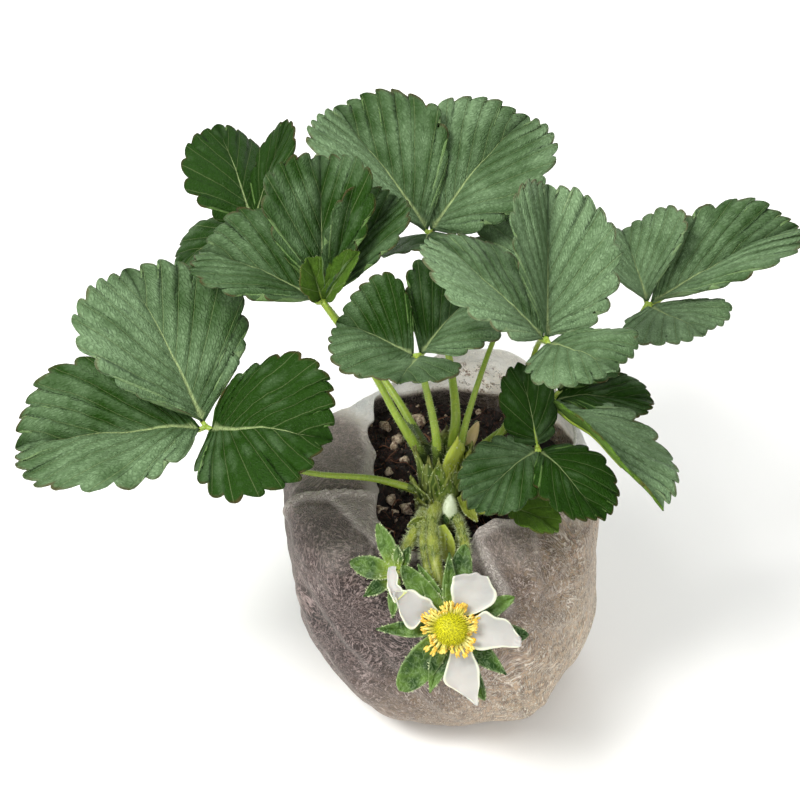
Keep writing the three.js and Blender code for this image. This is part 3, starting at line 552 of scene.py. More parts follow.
# %% [markdown]
# ## Tools for the shapes
# A smooth curve through a few points is used everywhere: for stalks, for the outline of a leaflet and
# for the bag's wall. It is the same kind of curve as in the CAD source, so the finer pieces keep to the
# solids.

# %% Smooth curves


def smooth_path(points, steps, power=0.5):
    spots = [np.array(p, float) for p in points]
    spots = [2 * spots[0] - spots[1], *spots, 2 * spots[-1] - spots[-2]]
    path = []
    for k in range(1, len(spots) - 2):
        before, start, end, after = spots[k - 1 : k + 3]
        pairs = ((before, start), (start, end), (end, after))
        first, second, third = [max(np.linalg.norm(b - a), 1e-6) ** power for a, b in pairs]
        leave = (start - before) / first - (end - before) / (first + second) + (end - start) / second
        arrive = (end - start) / second - (after - start) / (second + third) + (after - end) / third
        for s in np.linspace(0, 1, steps, endpoint=False):
            path.append(
                (2 * s**3 - 3 * s**2 + 1) * start
                + (s**3 - 2 * s**2 + s) * leave * second
                + (3 * s**2 - 2 * s**3) * end
                + (s**3 - s**2) * arrive * second
            )
    path.append(spots[-2])
    return np.array(path)


def evenly(path, count):
    lengths = np.concatenate([[0], np.cumsum(np.linalg.norm(np.diff(path, axis=0), axis=1))])
    wanted = np.linspace(0, lengths[-1], count)
    return np.stack([np.interp(wanted, lengths, path[:, i]) for i in range(path.shape[1])], axis=1)


def eased(value, start, end):
    portion = min(1.0, max(0.0, (value - start) / (end - start)))
    return portion * portion * (3 - 2 * portion)


# %% [markdown]
# Almost every surface of a plant is a flat sheet that has been bent: a leaf, a petal, even a stalk,
# which is a sheet rolled into a tube. So one tool makes them all. It starts from Blender's flat grid
# and moves each corner to where a function puts it. Each corner also keeps a note of where it lies on
# its piece, which the materials read.

# %% Bent grids


def bent_grid(form, columns, rows, place, rolled=False, capped=False, material=0):
    layers = form.verts.layers.float_vector
    note = layers.get("leaf_place") or layers.new("leaf_place")
    corners = bmesh.ops.create_grid(form, x_segments=columns, y_segments=rows, size=0.5)["verts"]
    for corner in corners:
        across, along = corner.co.x + 0.5, corner.co.y + 0.5
        spot, fact = place(across, along)
        corner.co = metres(spot)
        corner[note] = fact
    faces = {face for corner in corners for face in corner.link_faces}
    for face in faces:
        face.material_index = material
        face.smooth = True
    if rolled:
        bmesh.ops.remove_doubles(form, verts=corners, dist=2e-6)
    if capped:
        rims = [e for e in form.edges if e.is_boundary and any(f in faces for f in e.link_faces)]
        for face in bmesh.ops.holes_fill(form, edges=rims, sides=0)["faces"]:
            face.material_index = material


def finished_piece(form, name, materials, node, tidy=False):
    if tidy:
        bmesh.ops.recalc_face_normals(form, faces=form.faces)
    mesh = bpy.data.meshes.new(name)
    form.to_mesh(mesh)
    form.free()
    for material in materials:
        mesh.materials.append(material)
    piece = bpy.data.objects.new(name, mesh)
    bpy.context.scene.collection.objects.link(piece)
    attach(piece, "root")
    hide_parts(node)
    print(name, "has", sum(len(p.vertices) - 2 for p in mesh.polygons), "triangles")
    return piece


def thicken(piece, millimetres):
    skin = piece.modifiers.new("thickness", "SOLIDIFY")
    skin.thickness, skin.offset = millimetres / 1000, 0
    return skin


# %% [markdown]
# A stalk is a rolled grid along a path. Its ring is carried along the path without twisting, and its
# radius may change on the way.

# %% Stalks


def ring_frames(path):
    ways = np.gradient(path, axis=0)
    ways /= np.linalg.norm(ways, axis=1)[:, None]
    side = np.cross(ways[0], (0.3, 0.2, 1.0))
    sides = []
    for way in ways:
        side = side - way * np.dot(side, way)
        side = side / np.linalg.norm(side)
        sides.append(side)
    sides = np.array(sides)
    return sides, np.cross(ways, sides)


def add_stalk(form, path, radius_at, around, material=0):
    sides, ups = ring_frames(path)
    last = len(path) - 1

    def place(across, along):
        step = round(along * last)
        turn = 2 * math.pi * across
        out = sides[step] * math.cos(turn) + ups[step] * math.sin(turn)
        return path[step] + radius_at(along) * out, (across, along, 0.5)

    bent_grid(form, around, last, place, rolled=True, capped=True, material=material)


# %% [markdown]
# Hairs, anthers, crumbs of soil and grains of perlite are small shapes repeated hundreds of times. Each
# is modelled once with few faces, and copies are stamped where they belong, turned and sized by a
# matrix.

# %% Stamps
HAIR_MATERIAL = 1


def stamp_mesh(build):
    form = bmesh.new()
    build(form)
    mesh = bpy.data.meshes.new("stamp")
    form.to_mesh(mesh)
    form.free()
    return mesh


def press(form, stamp, matrices, material):
    for polygon in stamp.polygons:
        polygon.material_index = material
        polygon.use_smooth = True
    for matrix in matrices:
        stamp.transform(matrix)
        form.from_mesh(stamp)
        stamp.transform(matrix.inverted())


def aimed(spot, direction, width, length):
    turn = Vector(direction).to_track_quat("Z", "Y").to_matrix().to_4x4()
    size = Matrix.Diagonal((width / 1000, width / 1000, length / 1000, 1))
    return Matrix.Translation(metres(spot)) @ turn @ size


hair_stamp = stamp_mesh(
    lambda form: bmesh.ops.create_cone(
        form, cap_ends=True, cap_tris=True, segments=3, radius1=0.5, radius2=0, depth=1,
        matrix=Matrix.Translation((0, 0, 0.5)),
    )
)
ball_stamp = stamp_mesh(lambda form: bmesh.ops.create_icosphere(form, subdivisions=1, radius=1))
print("hair stamp faces:", len(hair_stamp.polygons))


def stalk_hairs(form, path, radius_at, count, length, seed):
    chance = random.Random(seed)
    sides, ups = ring_frames(path)
    matrices = []
    for _ in range(count):
        along = chance.random()
        step = min(len(path) - 1, int(along * len(path)))
        turn = chance.uniform(0, 2 * math.pi)
        out = sides[step] * math.cos(turn) + ups[step] * math.sin(turn)
        lean = np.array([chance.uniform(-0.3, 0.3) for _ in range(3)])
        root = path[step] + out * radius_at(along) * 0.9
        matrices.append(aimed(root, out + lean, 0.09, length * chance.uniform(0.6, 1.2)))
    press(form, hair_stamp, matrices, HAIR_MATERIAL)


# %% [markdown]
# ## The leaves
# A strawberry leaf is three leaflets on one stalk. Each leaflet is a folded blade with rounded teeth
# and a side vein running to every tooth. The table gives for each leaflet its direction, pitch,
# distance from the hub, length, width, how far its left and right halves rise, its rounder halves,
# arch, curl, teeth, and the tone of its two halves: above zero how much pale bluish sheen and light is
# painted on, below zero how fresh and young the green is.

# %% Leaf table
LEAVES = {
    "leaf_far_left": {
        "hub": (-55, -5, 84), "radius": 1.15, "slim": 0.55,
        "stalk": [(-4, -6, 63.5), (-15.5, -6, 68), (-34, -5, 70)],
        "leaflets": [
            (178, -10, 2, 43, 37, 3, 42, "L", 0.04, 0.05, 8, 0.62, 0.3),
            (121, 27, 2, 41, 43, 20, 4, "", 0.05, 0.1, 8, 0.72, 0.5),
            (-27, 17, 2, 32, 38, 30, -12, "LR", 0.04, 0.05, 8, -0.1, 0.0),
        ],
    },
    "leaf_back_left": {
        "hub": (-47, 60, 94), "radius": 1.05, "stalk": [(-3.5, 0, 71), (-12, 14, 78), (-30, 40, 86)],
        "leaflets": [
            (108, 11, 2, 33, 25, -5, -25, "L", 0.04, 0.05, 6, -0.1, -0.1),
            (70, 33, 2, 26, 14, -35, 35, "", 0.03, 0.05, 5, -0.05, 0.15),
            (-176, -32, 2, 22, 22, 0, 0, "L", 0.05, 0.05, 5, 0.15, 0.15),
        ],
    },
    "leaf_centre_left": {
        "hub": (-28, 16, 104), "radius": 1.15, "stalk": [(-5.5, -3, 74), (-11, -1, 84), (-16, 6, 90)],
        "leaflets": [
            (148, 1, 1.5, 33, 28, 12, 45, "", 0.06, 0.05, 7, 0.45, 0.35),
            (92, 27, 1.5, 36, 31, 32, 38, "", 0.03, 0.05, 6, 0.3, 0.2),
            (57, 20, 1.5, 31, 24, 66, 30, "", 0.04, 0.05, 6, 0.25, 0.2),
            (130, 60, 1, 10, 10, 12, 12, "LR", 0.02, 0, 3, -0.5, -0.6),
            (30, 50, 1, 13.5, 8.5, 14, 14, "LR", 0.02, 0, 3, -0.5, -0.6),
        ],
    },
    "leaf_back": {
        "hub": (-3, 46.5, 101), "radius": 1.2, "stalk": [(2.5, 0, 73), (3, 3, 81), (1, 20, 89)],
        "leaflets": [
            (126, 20, 1.5, 40, 38, 24, 28, "", 0.04, 0.05, 8, 0.75, 0.4),
            (52, 18, 1.5, 40, 38, 24, 14, "R", 0.05, 0.08, 8, 0.62, 0.55),
            (-95, 28, 1.5, 22, 24, -5, -15, "LR", 0.03, 0.05, 5, 0.35, 0.35),
        ],
    },
    "leaf_centre": {
        "hub": (-6, -3, 104), "radius": 1.2, "stalk": [(-1, -5.5, 73), (-2, -4.5, 83), (-4.6, -1, 95)],
        "leaflets": [
            (157, 10, 1.5, 18.5, 29, 4, 45, "L", 0.05, 0.05, 7, 0.45, 0.2),
            (60, -1, 1.5, 25, 29, 42, 12, "R", 0.05, 0.05, 7, 0.1, 0.5),
            (-105, 20, 1.5, 16, 23, 10, -8, "LR", 0.05, 0.1, 5, 0.5, 0.55),
        ],
    },
    "leaf_front_right": {
        "hub": (22, -12, 116), "radius": 1.15, "slim": 0.5,
        "stalk": [(4.5, -3.5, 69), (13, 2, 74), (19, 9, 84), (21.5, 7, 98)],
        "leaflets": [
            (137, 17, 1.5, 34, 27, 20, -15, "L", 0.05, 0.05, 8, 1.1, 0.4),
            (88, 26, 1.5, 36, 31, 58, 10, "R", 0.03, 0.08, 8, 0.75, 0.95),
            (-56, 20, 1.5, 23, 23, 9, -7, "R", 0.05, 0.1, 6, 0.55, 0.7),
        ],
    },
    "leaf_behind": {
        "hub": (20.5, 36, 98), "radius": 0.85, "stalk": [(4, -1.5, 73), (5.5, 0.5, 81), (11, 12, 93)],
        "leaflets": [
            (95, 8, 1.5, 27, 22, 0, 10, "", 0.03, 0.05, 5, 0.75, 0.75),
            (10, -28, 1.5, 17, 14, 0, 0, "", 0.03, 0.05, 4, 0.4, 0.4),
            (150, -4, 1.5, 17, 17, 0, 0, "", 0.03, 0.05, 5, 0.7, 0.7),
        ],
    },
    "leaf_far_right": {
        "hub": (49, 25, 96), "radius": 1.15, "stalk": [(4, 0, 67), (15, 8, 71), (31, 15, 78), (41, 21, 81.5)],
        "leaflets": [
            (99, 4, 1.5, 25, 34, 41, 45, "L", 0.04, 0.05, 7, 0.85, 0.7),
            (30, 9, 1.5, 42, 29, 22, 25, "", 0.04, 0.05, 8, 0.4, 0.55),
            (-55, 12, 1.5, 18, 27, 0, 3, "R", 0.05, 0.1, 6, 0.75, 0.85),
        ],
    },
    "leaf_low_right": {
        "hub": (25, 6.2, 82.5), "radius": 1.1, "stalk": [(4.8, -4, 65), (15, 2, 68.5), (22.5, 8, 74.5)],
        "leaflets": [
            (-60, 4, 2, 43, 24, 0, 60, "L", 0.04, 0.05, 8, 1.0, -0.7),
            (6, -6, 2, 23, 17, 6, 10, "", 0.05, 0.1, 6, 0.1, 0.1),
            (48, 8, 4, 17, 17, 10, 5, "", 0.05, 0.1, 5, 0.15, 0.15),
        ],
    },
    "leaf_low_small": {
        "hub": (22, -7, 79), "radius": 0.95, "stalk": [(4.4, -6.5, 61.5), (12, -9.5, 66), (19, -9, 73)],
        "leaflets": [
            (113, 56, 1.2, 19, 13, -8, -8, "LR", 0.04, 0.05, 5, 0.02, 0.05),
            (-135, -7, 1.2, 22, 18, -5, 24, "LR", 0.05, 0.05, 6, 0.26, 0.34),
            (-57, -4, 1.2, 24, 18.5, 8, 6, "L", 0.05, 0.05, 6, -0.12, -0.1),
        ],
    },
    "leaf_young": {
        "hub": (15.5, -13.5, 66.5), "radius": 0.8, "stalk": [(3.2, -8, 59.5), (9, -11.5, 62.5)],
        "leaflets": [(-30, -6, 0.8, 12, 10.5, 20, 10, "LR", 0.05, 0.05, 4, -1, -1)],
    },
}
print("leaflets:", sum(len(leaf["leaflets"]) for leaf in LEAVES.values()))

# %% [markdown]
# Half of a leaflet's outline is a curve through seven points, in parts of the length and of the half
# width. The usual half is a wedge; the outer half of a side leaflet is rounder. The curve is walked in
# even steps, with its heading, so that teeth can be set square to it.

# %% Outline of half a leaflet
RIM_STEPS = 600


def half_outline(points):
    path = evenly(smooth_path(points, 60, power=0), RIM_STEPS + 1)
    heading = np.gradient(path, axis=0)
    heading /= np.linalg.norm(heading, axis=1)[:, None]
    return np.concatenate([path, heading], axis=1)


WEDGE_HALF = half_outline(
    [(0, 0.03), (0.14, 0.38), (0.36, 0.82), (0.6, 1), (0.81, 0.86), (0.95, 0.46), (1, 0.03)]
)
FULL_HALF = half_outline(
    [(0, 0.03), (0.03, 0.5), (0.22, 0.88), (0.5, 1.02), (0.78, 0.86), (0.95, 0.46), (1, 0.03)]
)
PLAIN_BASE = 0.26
TOOTH_REACH = 0.027
TOOTH_LEAN = 0.016
MORE_TEETH = 1.3


def blade_axes(azimuth, pitch):
    turn, rise = math.radians(azimuth), math.radians(pitch)
    along = np.array([math.cos(turn) * math.cos(rise), math.sin(turn) * math.cos(rise), math.sin(rise)])
    left = np.cross((0, 0, 1), along)
    left /= np.linalg.norm(left)
    return along, left, np.cross(along, left)


# %% [markdown]
# The blade itself: the grid's rows run along the side veins, from the midrib out to the margin. Between
# two veins the surface swells up, the veins and the midrib lie in grooves, the margin ripples, and no
# two blades ripple alike.

# %% Blade


def blade_shape(hub, leaflet, seed):
    azimuth, pitch, gap, length, width, left_rise, right_rise, full, arch, curl, teeth = leaflet[:11]
    left_tone, right_tone = leaflet[11:]
    along, left, up = blade_axes(azimuth, pitch)
    base = np.array(hub) + gap * along
    count = round(teeth * MORE_TEETH)
    chance = random.Random(seed)
    phase = chance.uniform(0, 6.28)
    ripple = chance.uniform(0.35, 0.7) * length / 36

    def place(across, onward):
        aside = 1 - 2 * across
        side, out = (1 if aside >= 0 else -1), abs(aside)
        row = onward * count
        on_rim = row * PLAIN_BASE if row < 1 else PLAIN_BASE + (row - 1) / (count - 1) * (1 - PLAIN_BASE)
        table = FULL_HALF if ("L" if side > 0 else "R") in full else WEDGE_HALF
        edge_x, edge_y, head_x, head_y = table[round(on_rim * RIM_STEPS)]
        off_vein = abs(row - round(row))
        tooth = (1 - 2 * (2 * off_vein) ** 2.3) * eased(row, 0.45, 1.0)
        reach, lean = TOOTH_REACH * length * tooth, TOOTH_LEAN * length * tooth
        edge_along = edge_x * length - head_y * reach + head_x * lean
        edge_aside = max(0.02, edge_y * width / 2 + head_x * reach + head_y * lean)
        rib_along = length * (0.06 * onward + 0.94 * onward**3)
        forward = rib_along + (edge_along - rib_along) * out - 0.04 * length * out * (1 - out)
        flat = edge_aside * out
        portion = min(1.0, max(0.0, forward / length))
        swell = 2 * off_vein * (2 - 2 * off_vein) * min(1.0, 3 * out) * (1 - 0.5 * out)
        lift = arch * length * 4 * portion * (1 - portion) - curl * 2 * flat * flat / width
        lift += (0.62 + 0.4 * noise.noise(Vector((row * 0.7, side, seed)))) * swell * length / 40
        lift -= 0.4 * math.exp(-((flat / 0.8) ** 2))
        lift += ripple * out * out * math.sin(1.7 * row + phase + side) * eased(count - row, 0, 2)
        lift += 1.2 * noise.noise(Vector((forward * 0.09 + seed, side * flat * 0.09, seed)))
        lift += 0.3 * noise.noise(Vector((forward * 0.4, side * flat * 0.4, seed)))
        rise = math.radians(left_rise if side > 0 else right_rise)
        spot = base + forward * along + side * flat * math.cos(rise) * left
        spot = spot + (flat * math.sin(rise) + lift) * up
        # Each half's tone: above zero a pale bluish sheen and light are painted on, below zero a fresh young
        # green.
        tone = right_tone + (left_tone - right_tone) * eased(aside, -0.12, 0.12)
        return spot, (aside, row, tone)

    return place, count


# %% [markdown]
# Now the leaves are made. The blade is an open sheet that a Solidify modifier thickens, and the same
# modifier gives the underside its own paler material. The stalk, the short leaflet stalks and the
# raised ribs under the blades are rolled grids in a second piece, with hairs stamped on them.

# %% Make the leaves
BLADE_THICKNESS = 0.4
BLADE_COLUMNS, ROWS_PER_TOOTH = 26, 8
SLIM = 0.68
STALK_HAIRS, MARGIN_HAIRS = 340, 60


def rib_path(place, reach):
    spots = [np.array(place(0.5, along)[0]) for along in np.linspace(0.0, reach, 26)]
    return np.array(spots) - np.array([0, 0, 0.4])


def margin_hairs(form, place, count, seed):
    chance = random.Random(seed)
    matrices = []
    for _ in range(count):
        across, along = chance.choice((0.0, 1.0)), chance.uniform(0.1, 0.98)
        edge = np.array(place(across, along)[0])
        inner = np.array(place(across * 0.9 + 0.05, along)[0])
        way = edge - inner + np.array([chance.uniform(-0.3, 0.3) for _ in range(3)])
        matrices.append(aimed(edge - 0.1 * way, way, 0.045, chance.uniform(0.25, 0.55)))
    press(form, hair_stamp, matrices, HAIR_MATERIAL)


for number, (leaf_name, leaf) in enumerate(LEAVES.items()):
    blades, stems = bmesh.new(), bmesh.new()
    stalk = evenly(smooth_path([*leaf["stalk"], leaf["hub"]], 24), 60)
    thick = leaf["radius"] * leaf.get("slim", SLIM)

    def girth(along):
        return thick * (1 + 0.75 * (1 - along) ** 4)

    add_stalk(stems, stalk, girth, 12)
    stalk_hairs(stems, stalk, girth, STALK_HAIRS, 0.75, number)
    for index, leaflet in enumerate(leaf["leaflets"]):
        place, count = blade_shape(leaf["hub"], leaflet, 10 * number + index)
        bent_grid(blades, BLADE_COLUMNS, ROWS_PER_TOOTH * count, place)
        rib = np.concatenate([[np.array(leaf["hub"], float)], rib_path(place, 0.86)])
        add_stalk(stems, evenly(rib, 30), lambda along: 0.62 - 0.5 * along, 6)
        margin_hairs(stems, place, MARGIN_HAIRS, 10 * number + index)
    blades_piece = finished_piece(
        blades, f"{leaf_name}_blades", [leaf_top, leaf_under, leaf_under], leaf_name
    )
    skin = thicken(blades_piece, BLADE_THICKNESS)
    skin.material_offset, skin.material_offset_rim = 1, 0
    finished_piece(stems, f"{leaf_name}_stalk", [stalk_skin, hair_white], leaf_name, tidy=True)

# %% [markdown]
# ## The bag
# The bag is one sheet of felt, sewn into a tube and filled. Its wall is a curve from the foot over the
# belly to the mouth, and that curve changes on the way round: at the back the cloth stands up as a
# collar, at the front it folds in over the soil. A table gives for each angle the mouth's radius and
# height and the shoulder's height.

# %% Wall and mouth of the bag
WALL = [(0, 0), (21, 0), (28.5, 4), (34.9, 13), (38.3, 28), (38.9, 44)]
SHOULDER_RADIUS = 37.6
SLUMP_HEIGHT = 42
MOUTH = [
    (20, 33, 74, 56), (62, 36.5, 75, 58), (86, 34, 74, 58), (104, 35.5, 66, 58), (118, 33, 64, 60),
    (133, 25, 64.5, 61), (160, 17, 64.5, 61), (196, 15.8, 63.5, 61), (222, 20, 61, 60), (240, 23, 59, 56),
    (270, 21, 59.5, 54), (285, 20.8, 60.3, 54), (297, 19, 63.1, 54), (308, 18.8, 63.4, 54.5),
    (323, 21.6, 62.6, 55), (345, 30, 67, 55),
]


def mouth_at(angle):
    after = next((i for i, entry in enumerate(MOUTH) if entry[0] > angle), 0)
    start, end = MOUTH[after - 1], MOUTH[after]
    portion = eased(((angle - start[0]) % 360) / ((end[0] - start[0]) % 360), 0, 1)
    return [a + (b - a) * portion for a, b in zip(start[1:], end[1:])]


def wall_curve(angle, inset, count):
    radius, height, shoulder = mouth_at(angle)
    wave = 0.5 * (math.sin(math.radians(5 * angle) + 0.6) + 0.6 * math.sin(math.radians(11 * angle)))
    outer = [(r + (wave if r > 0 and z > 0 else 0), z) for r, z in WALL]
    outer.append((SHOULDER_RADIUS + wave, shoulder - 3))
    fall, edge = np.array((SHOULDER_RADIUS, shoulder)), np.array((radius, height))
    outer += [fall + (edge - fall) * 0.12, fall + (edge - fall) * 0.55 + np.array((0, 0.4)), edge]
    path = evenly(smooth_path(outer, 12), count)
    heading = np.gradient(path, axis=0)
    heading /= np.linalg.norm(heading, axis=1)[:, None]
    inwards = np.stack([-heading[:, 1], heading[:, 0]], axis=1)
    moved = path + inwards * inset
    moved[0] = (0, inset)
    return moved, -inwards


print("mouth at the front:", [round(v, 1) for v in mouth_at(270)])

# %% [markdown]
# Wrinkles make the cloth. Soft dents run all over it, creases gather towards the mouth, and three folds
# of the real bag are put where they lie: the ridge and the doubled corner at the front left, and the
# lapped shoulder at the front right. Long soft drapes cross the front wall; each is a line seen from
# the front, with a start, an end and a width. Each point notes whether it stands free of the soil,
# whether it is doubled, and how soiled it is; the doubled note also carries a pale band along the
# mouth's rim, partly the cut edge and partly a painted highlight.

# %% Bag cloth
BAG_COLUMNS, BAG_ROWS = 272, 150
FELT_THICKNESS = 0.5
wall_curves = [wall_curve(360 * i / BAG_COLUMNS, 0.45, BAG_ROWS + 1) for i in range(BAG_COLUMNS)]


def beside_line(x, y, start, end):
    way = np.array(end, float) - np.array(start, float)
    size = np.linalg.norm(way)
    way /= size
    offset = np.array((x, y)) - np.array(start)
    return np.dot(offset, way) / size, way[0] * offset[1] - way[1] * offset[0]


def crest(offset, width):
    return math.exp(-((offset / width) ** 2))


DRAPES = [
    ((13, 57), (35, 33), 1.5), ((12, 51), (31, 21), 2.0), ((10, 44), (23, 10), 1.8),
    ((16, 58), (37, 46), 1.2), ((-30, 52), (-14, 30), 2.2), ((-34, 44), (-20, 16), 2.4),
    ((-12, 40), (4, 10), 2.2),
]


def cloth_folds(x, y, z, angle):
    push = 1.4 * noise.noise(Vector((x, y, z * 0.7)) / 17)
    diagonal = Vector((x * 0.8 + z * 0.6, y, z * 0.8 - x * 0.6))
    push -= 1.1 * (
        0.3 - min(0.3, abs(noise.noise(Vector((diagonal.x / 22, diagonal.y / 22, diagonal.z / 7)))))
    )
    steep = Vector((x * 0.5 - z * 0.85, y, z * 0.5 + x * 0.85))
    push += 0.7 * (
        0.22 - min(0.22, abs(noise.noise(Vector((steep.x / 26, steep.y / 15, steep.z / 9 + 5)))))
    )
    push += 0.28 * noise.noise(Vector((x, y, z)) / 4.2)
    for start, end, width in DRAPES:
        on_drape, off_drape = beside_line(x, z, start, end)
        if y < 0 and -0.1 < on_drape < 1.1:
            fade = eased(on_drape, -0.1, 0.25) * eased(1.1 - on_drape, 0, 0.4) * eased(-y, 0, 8)
            push += (0.75 * crest(off_drape, width) - 0.6 * crest(off_drape + 1.8 * width, width)) * fade
    near_mouth = eased(z, 46, 60)
    pleats = math.sin(math.radians(13 * angle) + 3 * noise.noise(Vector((x, y, z)) / 14))
    push += 0.55 * near_mouth * pleats * abs(pleats)
    doubled = 0.5 * max(0.0, pleats - 0.8) * near_mouth
    top = eased(z, 53, 57)
    on_ridge, off_ridge = beside_line(x, y, (-38, -6.2), (-14.5, -6.4))
    if 0 < on_ridge < 1.15:
        push += 1.9 * crest(off_ridge, 0.95) * top - 0.9 * crest(off_ridge - 2.4, 1.3) * top
        doubled = max(doubled, min(1.0, 1.5 * crest(off_ridge, 0.9 + 0.8 * on_ridge)) * top)
    on_corner, off_corner = beside_line(x, y, (-29, -6.4), (-11.5, -25.6))
    if 0.02 < on_corner < 1.05 and off_corner > 0 and y < -6.4:
        lap = eased(off_corner, 0, 0.6) * top
        push += 0.9 * lap
        doubled = max(doubled, min(1.0, 0.55 + 0.7 * crest(off_corner - 0.7, 0.8)) * lap)
    on_lap, off_lap = beside_line(x, y, (4.4, -16.5), (15.5, -37))
    rising = eased(z, 48, 54)
    if -0.15 < on_lap < 1.0:
        lapped = eased(off_lap, -0.5, 0.9) * eased(14 - off_lap, 0, 9)
        push += 1.3 * lapped * rising * eased(1.0 - on_lap, 0, 0.35)
        doubled = max(
            doubled, min(1.0, 1.3 * crest(off_lap - 0.9, 1.3)) * rising * eased(1.0 - on_lap, 0, 0.3)
        )
    on_seam, off_seam = beside_line(x, y, (21.3, -13.9), (21.6, -34))
    if 0 < on_seam < 1:
        push += 0.5 * crest(off_seam, 0.9) * rising * (1 - on_seam)
        doubled = max(doubled, 0.5 * crest(off_seam, 0.6) * rising * (1 - on_seam))
    return push, doubled


def bag_place(across, along):
    column = round(across * BAG_COLUMNS) % BAG_COLUMNS
    row = round(along * BAG_ROWS)
    angle = 360 * column / BAG_COLUMNS
    path, outwards = wall_curves[column]
    radius, height = path[row]
    turn = math.radians(angle)
    push, doubled = cloth_folds(radius * math.cos(turn), radius * math.sin(turn), height, angle)
    push *= eased(height, 0.5, 9) * (0.35 + 0.65 * eased(1 - along, 0, 0.08))
    radius = max(0.0, radius + push * outwards[row][0])
    height = max(0.3, height + push * outwards[row][1])
    slump = SLUMP * (1 - eased(height, 0, SLUMP_HEIGHT))
    from_back = abs((angle - 60 + 180) % 360 - 180)
    free = eased(height, 57.5, 60.5) * eased(along, 0.72, 0.8) * (1 - 0.92 * eased(from_back, 66, 86))
    if 120 < angle < 215:
        free = max(free, 0.12 * eased(height, 56, 59) * eased(radius * math.sin(turn), -6.4, -5))
    # The pale band along the mouth's rim goes into the doubled note: partly the pale cut edge, partly a
    # painted highlight.
    edge = eased(along, 0.962, 0.988)
    soiled = (1 - eased(height, 66, 73)) * eased(abs(angle - 68), 40, 14)
    spot = (radius * math.cos(turn) + slump, radius * math.sin(turn), height)
    return spot, (free, max(doubled, 0.85 * edge), soiled)


bag_form = bmesh.new()
bent_grid(bag_form, BAG_COLUMNS, BAG_ROWS, bag_place, rolled=True)
bmesh.ops.remove_doubles(bag_form, verts=bag_form.verts, dist=2e-5)
bmesh.ops.recalc_face_normals(bag_form, faces=bag_form.faces)
facts = bag_form.verts.layers.float_vector.new("cloth_place")
notes = bag_form.verts.layers.float_vector["leaf_place"]
for corner in bag_form.verts:
    corner[facts] = corner[notes]
bag = finished_piece(bag_form, "felt_bag", [bag_cloth], "grow_bag")
thicken(bag, FELT_THICKNESS)

# %% [markdown]
# ## The soil
# The soil is a closed body that fills the bag under its cloth. Only its top shows, so that is where the
# clods are: a slow swell, then lumps, then crumbs. Bark shreds and perlite lie on it.

# %% Soil body
SOIL_COLUMNS, SOIL_ROWS, SIDE_ROWS = 180, 120, 30
SOIL_LEVEL = 55.5
SOIL_REACH = 33
under_cloth = [wall_curve(360 * i / SOIL_COLUMNS, 1.6, 90)[0] for i in range(SOIL_COLUMNS)]


def soil_height(x, y):
    swell = math.sin(x / 4.1 + 0.5) * math.cos(y / 3.6) + 0.45 * math.sin((x + 1.7 * y) / 2.3)
    clods = 1.5 * noise.noise(Vector((x, y, 3.3)) / 2.6) + 0.8 * noise.noise(Vector((x, y, 9.1)) / 0.9)
    return SOIL_LEVEL + 1.3 * swell + clods


def soil_place(across, along):
    column = round(across * SOIL_COLUMNS) % SOIL_COLUMNS
    turn = 2 * math.pi * column / SOIL_COLUMNS
    side = under_cloth[column]
    brim = next(i for i, (r, z) in enumerate(side) if z > 53 or i == len(side) - 1)
    row = along * SOIL_ROWS
    if row <= SIDE_ROWS:
        radius, height = side[round(row / SIDE_ROWS * brim)]
        slump = SLUMP * (1 - eased(height, 0, SLUMP_HEIGHT))
    else:
        radius = side[brim][0] * (1 - (row - SIDE_ROWS) / (SOIL_ROWS - SIDE_ROWS))
        height = soil_height(radius * math.cos(turn), radius * math.sin(turn))
        height += (side[brim][1] - height) * eased(radius, side[brim][0] - 2.5, side[brim][0])
        slump = 0
    return (radius * math.cos(turn) + slump, radius * math.sin(turn), height), (across, along, 0)


soil_form = bmesh.new()
bent_grid(soil_form, SOIL_COLUMNS, SOIL_ROWS, soil_place, rolled=True)
bmesh.ops.remove_doubles(soil_form, verts=soil_form.verts, dist=2e-5)
bmesh.ops.recalc_face_normals(soil_form, faces=soil_form.faces)

# %% [markdown]
# Crumbs and perlite are small rough balls. A perlite grain is a ball whose corners are pushed in and
# out at random, and the known grains lie where the photograph shows them; smaller ones are scattered
# between.

# %% Crumbs, shreds and perlite
SMALL_GRAINS, CRUMBS, SHREDS = 90, 900, 110
PERLITE = [
    (-13.9, 25.2, 1.5), (-10.8, 21.2, 1.7), (-5.3, 28.3, 1.7), (-8.4, -3.6, 1.6), (-12.2, -0.2, 1.4),
    (-14.6, -4.6, 1.3), (9.5, 14, 1.5), (16.5, -3.5, 1.3), (2, 21, 1.3), (10.5, -12.5, 1.2), (-9, 12, 1.3),
    (20, 12, 1.5), (-11.6, 17, 1.2), (-6.2, -8.6, 1.5), (-12.8, 8, 1.0),
]


def on_soil(chance, reach):
    while True:
        x, y = chance.uniform(-reach, reach), chance.uniform(-reach, reach)
        radius = mouth_at(math.degrees(math.atan2(y, x)) % 360)[0]
        if math.hypot(x, y) < min(radius + 3, SOIL_REACH):
            return x, y


def rough_ball(seed):
    def build(form):
        bmesh.ops.create_icosphere(form, subdivisions=2, radius=1)
        for corner in form.verts:
            corner.co *= 1 + 0.6 * noise.noise(corner.co * 1.2 + Vector((seed, 0, 0)))
            corner.co *= 1 + 0.25 * noise.noise(corner.co * 3 + Vector((0, seed, 0)))

    return stamp_mesh(build)


chance = random.Random(5)
rough_balls = [rough_ball(seed) for seed in range(9)]


